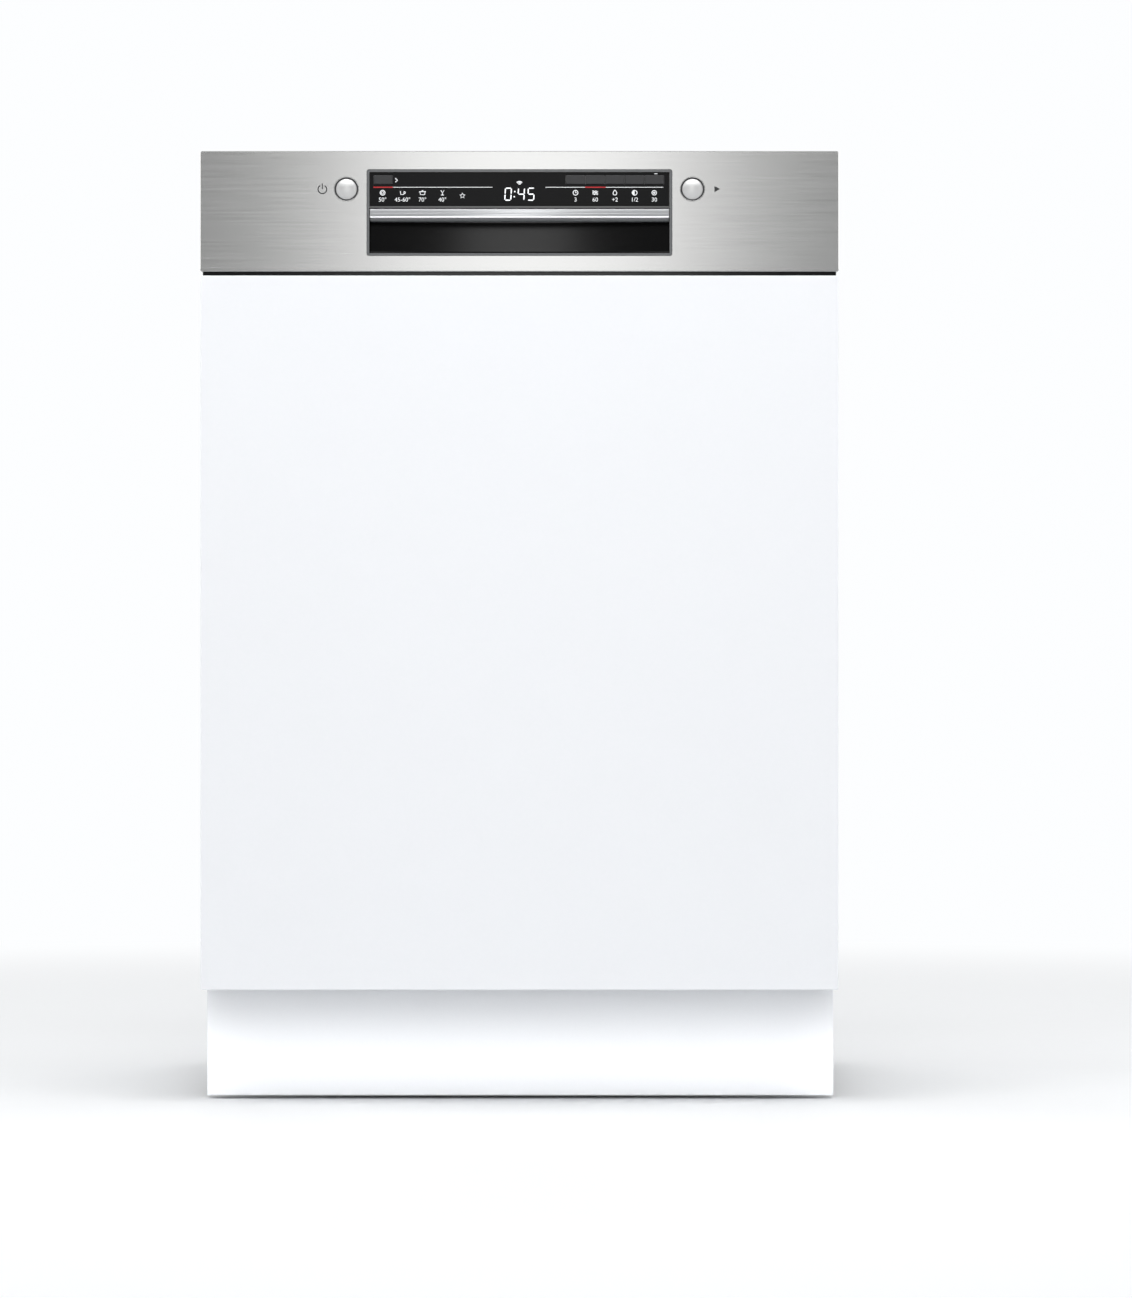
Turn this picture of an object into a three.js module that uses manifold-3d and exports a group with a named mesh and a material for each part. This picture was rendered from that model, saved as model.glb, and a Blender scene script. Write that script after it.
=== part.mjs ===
/**
 * A built-in dishwasher of the 60 cm class, with a steel fascia over a white furniture panel.
 *
 * Millimetres, Z up from the floor, X across the front. Y runs from the front to the back. Inside the
 * machine group Y = 0 is the front face of the fascia; the group then moves the whole machine so that
 * its box is centred on the origin.
 *
 * Each piece of the machine is one named mesh. The pieces are grouped by what carries them: the cabinet,
 * the door, and the racks. Pieces that touch keep CLEARANCE between them.
 */
import * as THREE from 'three';
import { mergeVertices } from 'three/addons/utils/BufferGeometryUtils.js';
import Module from 'manifold-3d';

const wasm = await Module();
wasm.setup();

// ---------------------------------------------------------------- driving dimensions

const WIDTH = 597; // fascia, side to side
const HEIGHT = 895; // floor to the tabs under the worktop
const DEPTH = 573; // fascia face to rear panel
const CLEARANCE = 0.3; // between pieces that touch
const SHEET = 1; // steel of the tub, the door and the side panels

// fascia and furniture panel
const FASCIA_HEIGHT = 112.5;
const FASCIA_SHEET = 0.8;
const FASCIA_RETURN = 18; // depth of its folded edges
const FASCIA_TOP_GAP = 2; // below the worktop
const FASCIA_CORNER = 2;
const FRONT_GAP = 3.7; // fascia to furniture panel
const PANEL_INSET = 0.5; // ends of the panel and the plinth inside those of the fascia
const PANEL_BELOW_PIVOT = 40.7; // its lower edge below the hinge pivot
const PANEL_THICKNESS = 19;
const PANEL_EDGE = 1.2;

// window: display above, grip recess below
const WINDOW_WIDTH = 285;
const WINDOW_HEIGHT = 80.3;
const WINDOW_DROP = 17.3; // below the top of the fascia
const WINDOW_RIM = 2.3;
const WINDOW_CORNER = 2;
const GRIP_DEPTH = 44;
const GRIP_WALL = 2;
const GRIP_CURVE = 12; // bend at the back of the recess
const DISPLAY_HEIGHT = 31.9;
const DISPLAY_TRAY = 8.3; // depth of the tray that holds the glass
const DISPLAY_RECESS = 1.6; // glass behind the fascia face
const DIVIDER = 1.5; // web between display and grip
const BAR_HEIGHT = 12.3;
const BAR_DEPTH = 10.5;
const BAR_RECESS = 0.5;

// buttons and keys
const BUTTON_BESIDE = 19.2; // centre of a button from the end of the window
const BUTTON_DROP = 35.5; // centre below the top of the fascia
const BUTTON_DIAMETER = 20;
const BUTTON_RING = 1.7; // gap between a button and its hole
const BUTTON_PROUD = 2;
const BUTTON_SKIRT = 10; // height of the cap
const BUTTON_STEM = 4; // radius
const BUTTON_STEM_END = 30;
const BUTTON_SLEEVE = 14; // front of the sleeve that guides the stem
const KEY_WIDTH = 17.9;
const KEY_HEIGHT = 8.4;
const KEY_DROP = 22.4; // top edge below the top of the fascia
const KEY_GAP = 0.5;
const KEY_FRONT = 0.9; // behind the fascia face
const KEY_DEPTH = 6.1;
const OPTION_KEYS = 5;
const OPTION_KEY_INSET = 5.25; // row of keys from the right end of the window
const PROGRAM_KEY_INSET = 3.95; // single key from the left end

// door
const PIVOT_Y = 48;
const PIVOT_RISE = 112; // above the underside of the base
const PIN_RADIUS = 5;
const DOOR_INSET = 8.5; // side of the steel door case inside the end of the fascia
const DOOR_BELOW_PIVOT = 32;
const DOOR_TOP_GAP = 6; // below the worktop
const DOOR_BACK = 66; // front of the liner's flange
const HOUSING_WALL = 2;
const BULKHEAD_WALL = 1.6;
const BULGE_CLEAR = 8; // raised middle of the liner inside the walls of the tub
const BULGE_BOTTOM_RISE = 17.3; // above the floor of the tub
const BULGE_DEPTH = 14;
const BULGE_CORNER = 40;
const RUNWAY_LENGTH = 485; // tracks that the lower rack rolls out on
const STRIKE_HALF = 8;
const STRIKE_DROP = 10.5; // underside of the strike below the worktop
const STRIKE_PLAY = 3.5; // tip of the strike from the front of the lock
const LOCK_HALF = 38;
const LOCK_HEIGHT = 26.5;
const HINGE_PLATE = 3;
const HINGE_ARM_HEIGHT = 110; // above the pivot
const LEVER_Y = 27; // spring stud from the pivot, backwards
const LEVER_Z = - 22; // and down
const STUD_RADIUS = 1.8;

// dispenser in the door
const DISPENSER_X = 40;
const DISPENSER_RISE = 195; // above the foot of the liner's raised middle
const DISPENSER_HALF = 85;
const DISPENSER_HEIGHT = 145;
const DISPENSER_DEPTH = 28;
const DISPENSER_FRAME = 3;
const DISPENSER_LAP = 4; // its frame over the edge of the liner's opening
const LID_THICKNESS = 4;
const DETERGENT_WIDTH = 78;
const DETERGENT_HEIGHT = 70;
const RINSE_LID = 44;

// case, base and feet
const FEET_OUT = 30;
const PAD_HEIGHT = 8;
const PAD_RADIUS = 26;
const STEM_RADIUS = 9.7;
const STEM_LENGTH = 105;
const STEM_PLAY = 0.8;
const SOCKET_WALL = 4.5;
const SOCKET_HEIGHT = 112;
const FOOT_INSET = 33.7; // axis inside the side of the base
const FOOT_FRONT_INSET = 28; // and behind its front
const FOOT_REAR_INSET = 30; // and before its back
const CASE_INSET = 1.5; // side panels inside the fascia's width
const BEAD = 1; // pressed beads stand out by this much
const BEAD_HALF = 9;
const SIDE_BOTTOM_RISE = 22; // above the underside of the base
const SIDE_TOP_DROP = 7;
const SIDE_BACK = 3; // side panels end this far before the back
const TOE_RISE = 8; // cut-out of the side panels above the plinth
const BASE_HEIGHT = 142.7;
const BASE_WALL = 3;
const BASE_BEHIND = 12; // front wall of the base behind the plinth
const BASE_BACK = 13; // back of the base before the back of the machine
const SHELF_HEIGHT = 20.7;
const SPRING_LANE = 15; // width of the lane between the base's side walls and ribs
const SPRING_REAR_Y = 250;
const SPRING_REAR_RISE = 72; // above the underside of the base
const SPRING_INSET = 10.2; // its centre inside the outer face of the base
const SPRING_RADIUS = 4.6;
const SPRING_WIRE = 1.1;
const SPRING_TURNS = 6;
const PLINTH_GAP = 3.3; // behind the sweep of the door's lower edge
const PLINTH_THICKNESS = 18;
const PLINTH_HEIGHT = 114;
const PLINTH_LIFT = 3;
const REAR_FLANGE = 12;
const CROSSBAR_DROP = 6; // its top below the worktop
const CROSSBAR_DEPTH = 37.4;
const CROSSBAR_GAUGE = 1.2;
const TAB_INSET = 10.7; // outer edge of a worktop tab inside the side of the base
const TAB_WIDTH = 30;
const TAB_DEPTH = 22;
const TAB_HOLE = 2.6; // radius
const EXCHANGER_GAP = 6; // heat exchanger inside the side panel
const EXCHANGER_FRONT = 150;
const EXCHANGER_LENGTH = 300;
const EXCHANGER_RISE = 112.3; // above the tub floor
const EXCHANGER_TOP_GAP = 20; // below the hood

// tub
const TUB_INSET = 28.5; // inner walls inside the fascia's width
const TUB_SLAB = 6.7;
const TUB_ROOF_DROP = 27; // inner roof below the worktop
const TUB_BACK_GAP = 28; // inner back wall before the back of the machine
const TUB_CORNER = 29;
const CHANNEL_WIDTH = 14; // step that holds the seal
const CHANNEL_GAP = 5; // mouth of the tub behind the liner
const CHANNEL_DEPTH = 14;
const FLANGE_GAP = 5; // flange of the mouth inside the side panels
const SEAL_WIDTH = 12;
const SEAL_RISE = 12.3; // foot of the seal above the tub floor
const LEDGE_WIDTH = 23; // track for the lower rack's wheels
const LEDGE_HEIGHT = 9.3;
const THRESHOLD_HEIGHT = 16.3;
const HOOD_THICKNESS = 14;
const HOOD_CORNER = 42; // radius of its upper edges
const HOOD_LENGTH = 148; // down the sides, from the roof
const HOOD_FRONT_GAP = 28; // behind the seal's channel

// wash system
const FILTER_X = 90;
const FILTER_Y = 235;
const FUNNEL_WIDTH = 300;
const FUNNEL_DEPTH = 224;
const FUNNEL_BOTTOM = 190;
const FUNNEL_DROP = 10; // floor of the funnel below the underside of the tub floor
const SUMP_RADIUS = 57;
const SUMP_DEPTH = 109;
const PUMP_DROP = 66; // axes of the two pumps below the floor of the funnel
const DRAIN_DROP = 81;
const PUMP_RADIUS = 48; // heater bowl of the circulation pump
const PUMP_BOWL = 52; // its length with the neck
const PUMP_MOTOR = 40; // radius
const PUMP_LENGTH = 134;
const DRAIN_RADIUS = 33;
const DRAIN_MOTOR = 25; // radius
const DRAIN_LENGTH = 68;
const FILTER_RADIUS = 38;
const FILTER_DEPTH = 71;
const HUB_SHIFT = 2; // hub of the arms before the middle of the racks
const HUB_RADIUS = 22;
const SALT_X = - 180;
const SALT_Y = 265;
const SALT_NECK = 36;
const ARM_THICKNESS = 12;
const ARM_PIN = 6;
const ARM_RISE = 14.3; // lower arm above the tub floor
const ARM_GAP = 7; // its tip from the riser
const UPPER_ARM_SHORTER = 5;
const UPPER_ARM_DROP = 27; // below the floor wires of the upper rack
const RISER_HALF = 14;
const RISER_DEPTH = 12.7;
const DUCT_DROP = 6.5; // below the floor wires of the upper rack

// racks
const WIRE = 2.2; // radius
const LAYER = 3.4; // height of the floor's upper layer of wires above the lower
const RACK_SIDE_GAP = 1; // lower rack inside the ledges
const RACK_FRONT_GAP = 13; // racks behind the runways of the door
const RACK_BACK_GAP = 6; // and before the riser
const RACK_RISE = 10; // lower rack above the arm
const LOWER_HEIGHT = 106;
const WHEEL_RADIUS = 18;
const WHEEL_WIDTH = 9;
const WHEEL_FRONT_INSET = 52; // axles behind the front of the rack
const WHEEL_REAR_INSET = 46; // and before its back
const AXLE = 3;
const TINE = 75;
const TINE_PITCH = 42;
const FIRST_ROW = 62; // row of tines behind the front of the rack
const ROW_PITCH = 90;
const CUP_TINE = 45;
const CUP_TINE_PITCH = 62;
const CUP_ROW = 120; // from the middle of the rack, forwards and back
const UPPER_DROP = 283; // floor wires of the upper rack below the roof
const UPPER_HEIGHT = 115;
const UPPER_SIDE_GAP = 17; // upper rack inside its rails
const RAIL_RISE = 11; // above the floor wires
const RAIL_HEIGHT = 22;
const RAIL_WIDTH = 12.7;
const RAIL_WALL = 1.5;
const RAIL_FRONT_GAP = 14; // behind the seal's channel
const RAIL_BACK_GAP = 6; // before the back of the racks
const SHELF_WIDTH = 110;
const SHELF_LENGTH = 300;
const SHELF_RISE = 55; // above the floor wires

// cutlery basket
const BASKET_WIDTH = 98;
const BASKET_LENGTH = 208;
const BASKET_HEIGHT = 130;
const BASKET_WALL = 2;
const BASKET_SIDE_GAP = 17; // inside the side of the lower rack
const BASKET_BACK_GAP = 18; // and before its back
const ROW_BASKET_GAP = 16; // rows of tines end this far before the basket
const ROW_SIDE_GAP = 22; // and this far inside the side of the rack

// ---------------------------------------------------------------- derived places

const half = WIDTH / 2;
const caseHalf = half - CASE_INSET; // outer plane of the side panels
const baseHalf = caseHalf - SHEET - CLEARANCE;
const panelHalf = half - PANEL_INSET;
const doorHalf = half - DOOR_INSET;
const tubHalf = half - TUB_INSET;
const tubOuter = tubHalf + SHEET;

// front
const fasciaTop = HEIGHT - FASCIA_TOP_GAP;
const fasciaBottom = fasciaTop - FASCIA_HEIGHT;
const panelTop = fasciaBottom - FRONT_GAP;
const windowTop = fasciaTop - WINDOW_DROP;
const windowBottom = windowTop - WINDOW_HEIGHT;
const windowHalf = WINDOW_WIDTH / 2;
const innerHalf = windowHalf - WINDOW_RIM;
const innerTop = windowTop - WINDOW_RIM;
const innerBottom = windowBottom + WINDOW_RIM;
const displayBottom = innerTop - DISPLAY_HEIGHT;
const gripTop = displayBottom - DIVIDER;
const buttonX = windowHalf + BUTTON_BESIDE;
const buttonZ = fasciaTop - BUTTON_DROP;
const buttonHole = BUTTON_DIAMETER / 2 + BUTTON_RING;
const keyZ = fasciaTop - KEY_DROP - KEY_HEIGHT / 2;
const keyPitch = KEY_WIDTH + KEY_GAP;
const optionRowEnd = innerHalf - OPTION_KEY_INSET - KEY_WIDTH / 2; // centre of the last key
const optionKeyX = optionRowEnd - ( OPTION_KEYS - 1 ) * keyPitch;
const programKeyX = PROGRAM_KEY_INSET + KEY_WIDTH / 2 - innerHalf;

// base, plinth and hinge
const baseBottom = PAD_HEIGHT + FEET_OUT;
const baseTop = baseBottom + BASE_HEIGHT;
const pivotZ = baseBottom + PIVOT_RISE;
const panelBottom = pivotZ - PANEL_BELOW_PIVOT;
const springRearZ = baseBottom + SPRING_REAR_RISE;
const plinthFront = PIVOT_Y + PANEL_BELOW_PIVOT + PLINTH_GAP;
const plinthBack = plinthFront + PLINTH_THICKNESS;
const plinthTop = PLINTH_LIFT + PLINTH_HEIGHT;
const baseFront = plinthBack + BASE_BEHIND;
const shelfFront = plinthFront + 2;
const baseBack = DEPTH - BASE_BACK;
const socketTop = baseBottom + SOCKET_HEIGHT;
const footX = baseHalf - FOOT_INSET;
const footFrontY = baseFront + FOOT_FRONT_INSET;
const footRearY = baseBack - FOOT_REAR_INSET;
const laneInner = baseHalf - BASE_WALL - SPRING_LANE;
const springX = baseHalf - SPRING_INSET;

// tub
const tubUnderside = baseTop + CLEARANCE;
const tubFloor = tubUnderside + TUB_SLAB;
const tubRoof = HEIGHT - TUB_ROOF_DROP;
const hoodBottom = tubRoof - HOOD_LENGTH;
const tubBack = DEPTH - TUB_BACK_GAP;
const shellBottom = tubFloor + CLEARANCE;
const channelFront = DOOR_BACK + SHEET + CHANNEL_GAP;
const channelBack = channelFront + CHANNEL_DEPTH;
const ledgeOuter = tubHalf - 1;
const ledgeInner = ledgeOuter - LEDGE_WIDTH;
const ledgeZ = tubFloor + LEDGE_HEIGHT;
const sideFront = channelFront + SHEET + 1;
const funnelZ = tubUnderside - FUNNEL_DROP;
const sumpBottom = funnelZ - SUMP_DEPTH;
const pumpZ = funnelZ - PUMP_DROP;
const drainZ = funnelZ - DRAIN_DROP;
const filterBottom = funnelZ - FILTER_DEPTH;

// door
const housingHalf = half - FASCIA_SHEET - CLEARANCE;
const housingTop = fasciaTop - FASCIA_SHEET - CLEARANCE;
const housingBottom = fasciaBottom + FASCIA_SHEET + CLEARANCE;
const doorTop = HEIGHT - DOOR_TOP_GAP;
const doorBottom = pivotZ - DOOR_BELOW_PIVOT;
const plateFront = PANEL_THICKNESS + CLEARANCE;
const bulgeHalf = tubHalf - BULGE_CLEAR;
const bulgeTop = tubRoof - BULGE_CLEAR;
const bulgeBottom = tubFloor + BULGE_BOTTOM_RISE;
const bulgeBack = DOOR_BACK + BULGE_DEPTH;
const runwayBack = PIVOT_Y + ledgeZ - pivotZ; // level with the ledge when the door lies open
const bulkhead = GRIP_DEPTH + 2 * CLEARANCE;
const lockFront = bulkhead + BULKHEAD_WALL + CLEARANCE;
const strikeZ = HEIGHT - STRIKE_DROP;
const hingeInner = doorHalf + CLEARANCE;
const hingeOuter = hingeInner + HINGE_PLATE;
const dispenserZ = bulgeBottom + DISPENSER_RISE;

// racks
const riserFront = tubBack - CLEARANCE - RISER_DEPTH;
const rackFront = runwayBack + RACK_FRONT_GAP;
const rackBack = riserFront - RACK_BACK_GAP;
const rackMidY = ( rackFront + rackBack ) / 2;
const hubY = rackMidY - HUB_SHIFT;
const lowerArmZ = tubFloor + ARM_RISE;
const lowerArmReach = riserFront - hubY - ARM_GAP;
const lowerFloor = lowerArmZ + ARM_THICKNESS + RACK_RISE;
const rackHalf = ledgeInner - RACK_SIDE_GAP;
const wheelX = ( ledgeInner + ledgeOuter ) / 2;
const wheelZ = ledgeZ + CLEARANCE + WHEEL_RADIUS;
const wheelFrontY = rackFront + WHEEL_FRONT_INSET;
const wheelRearY = rackBack - WHEEL_REAR_INSET;
const upperFloor = tubRoof - UPPER_DROP;
const upperArmZ = upperFloor - UPPER_ARM_DROP;
const upperArmReach = lowerArmReach - UPPER_ARM_SHORTER;
const ductZ = upperFloor - DUCT_DROP;
const railZ = upperFloor + RAIL_RISE;
const railInner = tubHalf - CLEARANCE - RAIL_WIDTH;
const railFront = channelBack + RAIL_FRONT_GAP;
const railBack = rackBack - RAIL_BACK_GAP;
const runnerZ = railZ + RAIL_HEIGHT / 2;
const upperHalf = railInner - UPPER_SIDE_GAP;
const shelfZ = upperFloor + SHELF_RISE;
const basketX1 = rackHalf - BASKET_SIDE_GAP;
const basketX0 = basketX1 - BASKET_WIDTH;
const basketY1 = rackBack - BASKET_BACK_GAP;
const basketY0 = basketY1 - BASKET_LENGTH;

// ---------------------------------------------------------------- materials

function finish( color, roughness, metalness = 0 ) {

	return new THREE.MeshStandardMaterial( { color, roughness, metalness } );

}

const brushedSteel = finish( 0xc8cacc, 0.34, 1 );
const tubSteel = finish( 0xb8bbbe, 0.28, 1 );
const galvanised = finish( 0xa7abae, 0.5, 0.8 );
const whiteLacquer = finish( 0xf4f6f9, 0.42 );
const rimPlastic = finish( 0x5c5e60, 0.4 );
const glossBlack = finish( 0x0b0c0e, 0.08 );
const chromedBar = finish( 0xe2e4e6, 0.2, 0.8 );
const pearlCap = finish( 0xd8d9da, 0.25, 0.5 );
const keyPlastic = finish( 0x35383a, 0.3 );
const darkPlastic = finish( 0x26282a, 0.6 );
const greyPlastic = finish( 0x777c80, 0.5 );
const palePlastic = finish( 0xd9dcdd, 0.45 );
const rackCoat = finish( 0x9aa0a5, 0.4 );
const sealRubber = finish( 0x1a1b1c, 0.85 );
const springSteel = finish( 0x8f9396, 0.35, 1 );
const foam = finish( 0x3b3d3f, 0.95 );

// ---------------------------------------------------------------- solids from three.js geometry

const AXIS_X = new THREE.Vector3( 1, 0, 0 );
const AXIS_Y = new THREE.Vector3( 0, 1, 0 );
const AXIS_Z = new THREE.Vector3( 0, 0, 1 );
const ALONG_X = new THREE.Matrix4().makeBasis( AXIS_Y, AXIS_Z, AXIS_X );
const ALONG_Y = new THREE.Matrix4().makeBasis( AXIS_X, AXIS_Z, AXIS_Y.clone().negate() );
const QUARTER = Math.PI / 2;

// A closed geometry as a solid that can be joined and cut.
function solidOf( geometry ) {

	const bare = geometry.clone();
	bare.deleteAttribute( 'normal' );
	bare.deleteAttribute( 'uv' );
	const merged = mergeVertices( bare, 1e-4 );
	const corners = merged.index.array;
	const triangles = [];
	for ( let i = 0; i < corners.length; i += 3 ) {

		const [ a, b, c ] = corners.slice( i, i + 3 );
		if ( a !== b && b !== c && c !== a ) triangles.push( a, b, c );

	}

	return new wasm.Manifold( new wasm.Mesh( {
		numProp: 3,
		vertProperties: merged.attributes.position.array,
		triVerts: new Uint32Array( triangles ),
	} ) );

}

function geometryOf( solid ) {

	const mesh = solid.getMesh();
	const geometry = new THREE.BufferGeometry();
	geometry.setAttribute( 'position', new THREE.BufferAttribute( mesh.vertProperties, 3 ) );
	geometry.setIndex( new THREE.BufferAttribute( mesh.triVerts, 1 ) );
	geometry.computeVertexNormals();
	return geometry;

}

const joined = ( solids ) => solids.reduce( ( whole, next ) => whole.add( next ) );

// A box between two X, two Y and two Z values, each pair in either order.
function block( x0, x1, y0, y1, z0, z1 ) {

	const box = new THREE.BoxGeometry( Math.abs( x1 - x0 ), Math.abs( y1 - y0 ), Math.abs( z1 - z0 ) );
	box.translate( ( x0 + x1 ) / 2, ( y0 + y1 ) / 2, ( z0 + z1 ) / 2 );
	return solidOf( box );

}

// A box whose top has another length and width than its bottom, both centred on x, y.
function taperedBlock( x, y, bottom, top, z0, z1 ) {

	const box = new THREE.BoxGeometry( 1, 1, z1 - z0 );
	const place = box.attributes.position;
	for ( let i = 0; i < place.count; i ++ ) {

		const [ width, depth ] = place.getZ( i ) > 0 ? top : bottom;
		place.setX( i, place.getX( i ) * width );
		place.setY( i, place.getY( i ) * depth );

	}

	box.translate( x, y, ( z0 + z1 ) / 2 );
	return solidOf( box );

}

// A round bar from point a to point b, each [x, y, z]. A flat faces up on an even number of sides.
function rod( a, b, radius, sides = 16 ) {

	const start = new THREE.Vector3( ...a );
	const run = new THREE.Vector3( ...b ).sub( start );
	const bar = new THREE.CylinderGeometry( radius, radius, run.length(), sides, 1, false, Math.PI / sides );
	bar.translate( 0, run.length() / 2, 0 );
	bar.applyQuaternion( new THREE.Quaternion().setFromUnitVectors( AXIS_Y, run.clone().normalize() ) );
	bar.translate( start.x, start.y, start.z );
	return solidOf( bar );

}

// An outline pushed along one axis. For 'x' it is drawn in Y, Z; for 'y' in X, Z; for 'z' in X, Y.
function extrude( shape, axis, from, to, { edge = 0, curve = 2 } = {} ) {

	const geometry = new THREE.ExtrudeGeometry( shape, {
		depth: to - from - 2 * edge,
		curveSegments: curve,
		bevelEnabled: edge > 0,
		bevelThickness: edge,
		bevelSize: edge,
		bevelOffset: - edge,
		bevelSegments: 1,
	} );
	geometry.translate( 0, 0, edge );
	if ( axis === 'x' ) geometry.applyMatrix4( ALONG_X ).translate( from, 0, 0 );
	if ( axis === 'y' ) geometry.applyMatrix4( ALONG_Y ).translate( 0, to, 0 );
	if ( axis === 'z' ) geometry.translate( 0, 0, from );
	return solidOf( geometry );

}

// A profile of [radius, height] turned about Z. It runs up the outside and closes on the axis or on itself.
function turned( profile, sides = 24 ) {

	const points = profile.map( ( [ radius, height ] ) => new THREE.Vector2( radius, height ) );
	return new THREE.LatheGeometry( points, sides ).rotateX( QUARTER );

}

function roundedRect( x0, x1, y0, y1, radius ) {

	const shape = new THREE.Shape();
	shape.absarc( x1 - radius, y0 + radius, radius, - QUARTER, 0 );
	shape.absarc( x1 - radius, y1 - radius, radius, 0, QUARTER );
	shape.absarc( x0 + radius, y1 - radius, radius, QUARTER, 2 * QUARTER );
	shape.absarc( x0 + radius, y0 + radius, radius, 2 * QUARTER, 3 * QUARTER );
	return shape;

}

// A doorway: straight legs, flat top, round top corners.
function arch( halfWidth, bottom, top, radius ) {

	const shape = new THREE.Shape();
	shape.moveTo( - halfWidth, bottom );
	shape.lineTo( halfWidth, bottom );
	shape.absarc( halfWidth - radius, top - radius, radius, 0, QUARTER );
	shape.absarc( radius - halfWidth, top - radius, radius, QUARTER, 2 * QUARTER );
	return shape;

}

function polygon( points ) {

	return new THREE.Shape( points.map( ( [ x, y ] ) => new THREE.Vector2( x, y ) ) );

}

// Evenly spread values, both ends included.
function spread( from, to, count ) {

	return Array.from( { length: count }, ( _, i ) => from + ( to - from ) * i / ( count - 1 ) );

}

// A named piece of the machine.
function piece( name, shape, material, parent ) {

	const mesh = new THREE.Mesh( shape.isBufferGeometry ? shape : geometryOf( shape ), material );
	mesh.name = name;
	parent.add( mesh );
	return mesh;

}

// ---------------------------------------------------------------- groups

const machine = new THREE.Group();
machine.position.y = - ( DEPTH - BUTTON_PROUD ) / 2;
const cabinet = new THREE.Group();
const door = new THREE.Group();
const lowerRack = new THREE.Group();
const upperRack = new THREE.Group();
machine.add( cabinet, door, lowerRack, upperRack );
lowerRack.position.set( 0, rackMidY, lowerFloor );
upperRack.position.set( 0, rackMidY, upperFloor );

// ---------------------------------------------------------------- cabinet: base, feet and plinth

const FEET = {
	foot_front_left: [ - footX, footFrontY ],
	foot_front_right: [ footX, footFrontY ],
	foot_rear: [ 0, footRearY ],
};

// Moulded tray with a shelf along its front, spring lanes, foot sockets and the hose connections.
function makeBaseTray() {

	const inner = baseHalf - BASE_WALL;
	const solids = [
		block( - baseHalf, baseHalf, baseFront, baseBack, baseBottom, baseTop ),
		block( - baseHalf, baseHalf, shelfFront, baseFront + BASE_WALL, baseTop - SHELF_HEIGHT, baseTop ),
	];
	const cuts = [
		block( - inner, inner, baseFront + BASE_WALL, baseBack - BASE_WALL, baseBottom + BASE_WALL, baseTop + 1 ),
		block( - inner, inner, shelfFront + BASE_WALL, baseFront, baseTop - SHELF_HEIGHT - 1, baseTop - BASE_WALL ),
	];
	for ( const side of [ - 1, 1 ] ) {

		cuts.push( block( side * laneInner, side * inner, baseFront - 1, baseFront + BASE_WALL + 1,
			springRearZ - 15, pivotZ - 5 ) );

	}

	let tray = cuts.reduce( ( whole, cut ) => whole.subtract( cut ), joined( solids ) );
	const floor = baseBottom + 1;
	const additions = [];
	for ( const side of [ - 1, 1 ] ) {

		const rib = side * ( laneInner - BASE_WALL );
		additions.push( block( rib, side * laneInner, baseFront + 1, SPRING_REAR_Y + 14, floor, socketTop ) );
		additions.push( rod( [ side * ( laneInner - 1 ), SPRING_REAR_Y, springRearZ ],
			[ side * ( springX + 4 ), SPRING_REAR_Y, springRearZ ], STUD_RADIUS, 8 ) );

	}

	for ( const y of [ baseBack - 160, baseBack - 90 ] ) {

		additions.push( block( 1 - inner, inner - 1, y, y + BASE_WALL, floor, baseBottom + 30 ) );

	}

	for ( const [ x, y ] of Object.values( FEET ) ) {

		additions.push( rod( [ x, y, floor ], [ x, y, socketTop ], STEM_RADIUS + STEM_PLAY + SOCKET_WALL, 8 ) );

	}

	const ports = [ [ 200, 52, 13, 9 ], [ 150, 62, 9.5, 7 ], [ - 200, 57, 12, 6 ] ]; // x, rise, radius, bore
	for ( const [ x, rise, outer ] of ports ) {

		const z = baseBottom + rise;
		additions.push( rod( [ x, baseBack - 1, z ], [ x, DEPTH - 2, z ], outer, 8 ) );

	}

	tray = tray.add( joined( additions ) );
	for ( const [ x, y ] of Object.values( FEET ) ) {

		tray = tray.subtract( rod( [ x, y, baseBottom - 1 ], [ x, y, socketTop - BASE_WALL ],
			STEM_RADIUS + STEM_PLAY, 12 ) );

	}

	for ( const [ x, rise, , bore ] of ports ) {

		const z = baseBottom + rise;
		tray = tray.subtract( rod( [ x, baseBack - BASE_WALL - 1, z ], [ x, DEPTH, z ], bore, 6 ) );

	}

	return tray;

}

piece( 'base_tray', makeBaseTray(), darkPlastic, cabinet );

function makeFoot() {

	return turned( [
		[ 0, 0 ],
		[ PAD_RADIUS - 2, 0 ],
		[ PAD_RADIUS, 2 ],
		[ PAD_RADIUS, PAD_HEIGHT - 2 ],
		[ STEM_RADIUS + 4, PAD_HEIGHT ],
		[ STEM_RADIUS, PAD_HEIGHT + 3 ],
		[ STEM_RADIUS, STEM_LENGTH + PAD_HEIGHT ],
		[ 0, STEM_LENGTH + PAD_HEIGHT ],
	], 12 );

}

for ( const [ name, [ x, y ] ] of Object.entries( FEET ) ) {

	piece( name, makeFoot(), greyPlastic, cabinet ).position.set( x, y, 0 );

}

// Plinth board with round front edges and three clips that reach the base.
function makePlinth() {

	const board = roundedRect( plinthFront, plinthBack, PLINTH_LIFT, plinthTop, 1 );
	let plinth = extrude( board, 'x', - panelHalf, panelHalf );
	for ( const x of [ - 180, 0, 180 ] ) {

		plinth = plinth.add( block( x - 15, x + 15, plinthBack - 1, baseFront - CLEARANCE,
			plinthTop - 47, plinthTop - 7 ) );

	}

	return plinth;

}

piece( 'plinth_panel', makePlinth(), whiteLacquer, cabinet );

// ---------------------------------------------------------------- cabinet: casing

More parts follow.
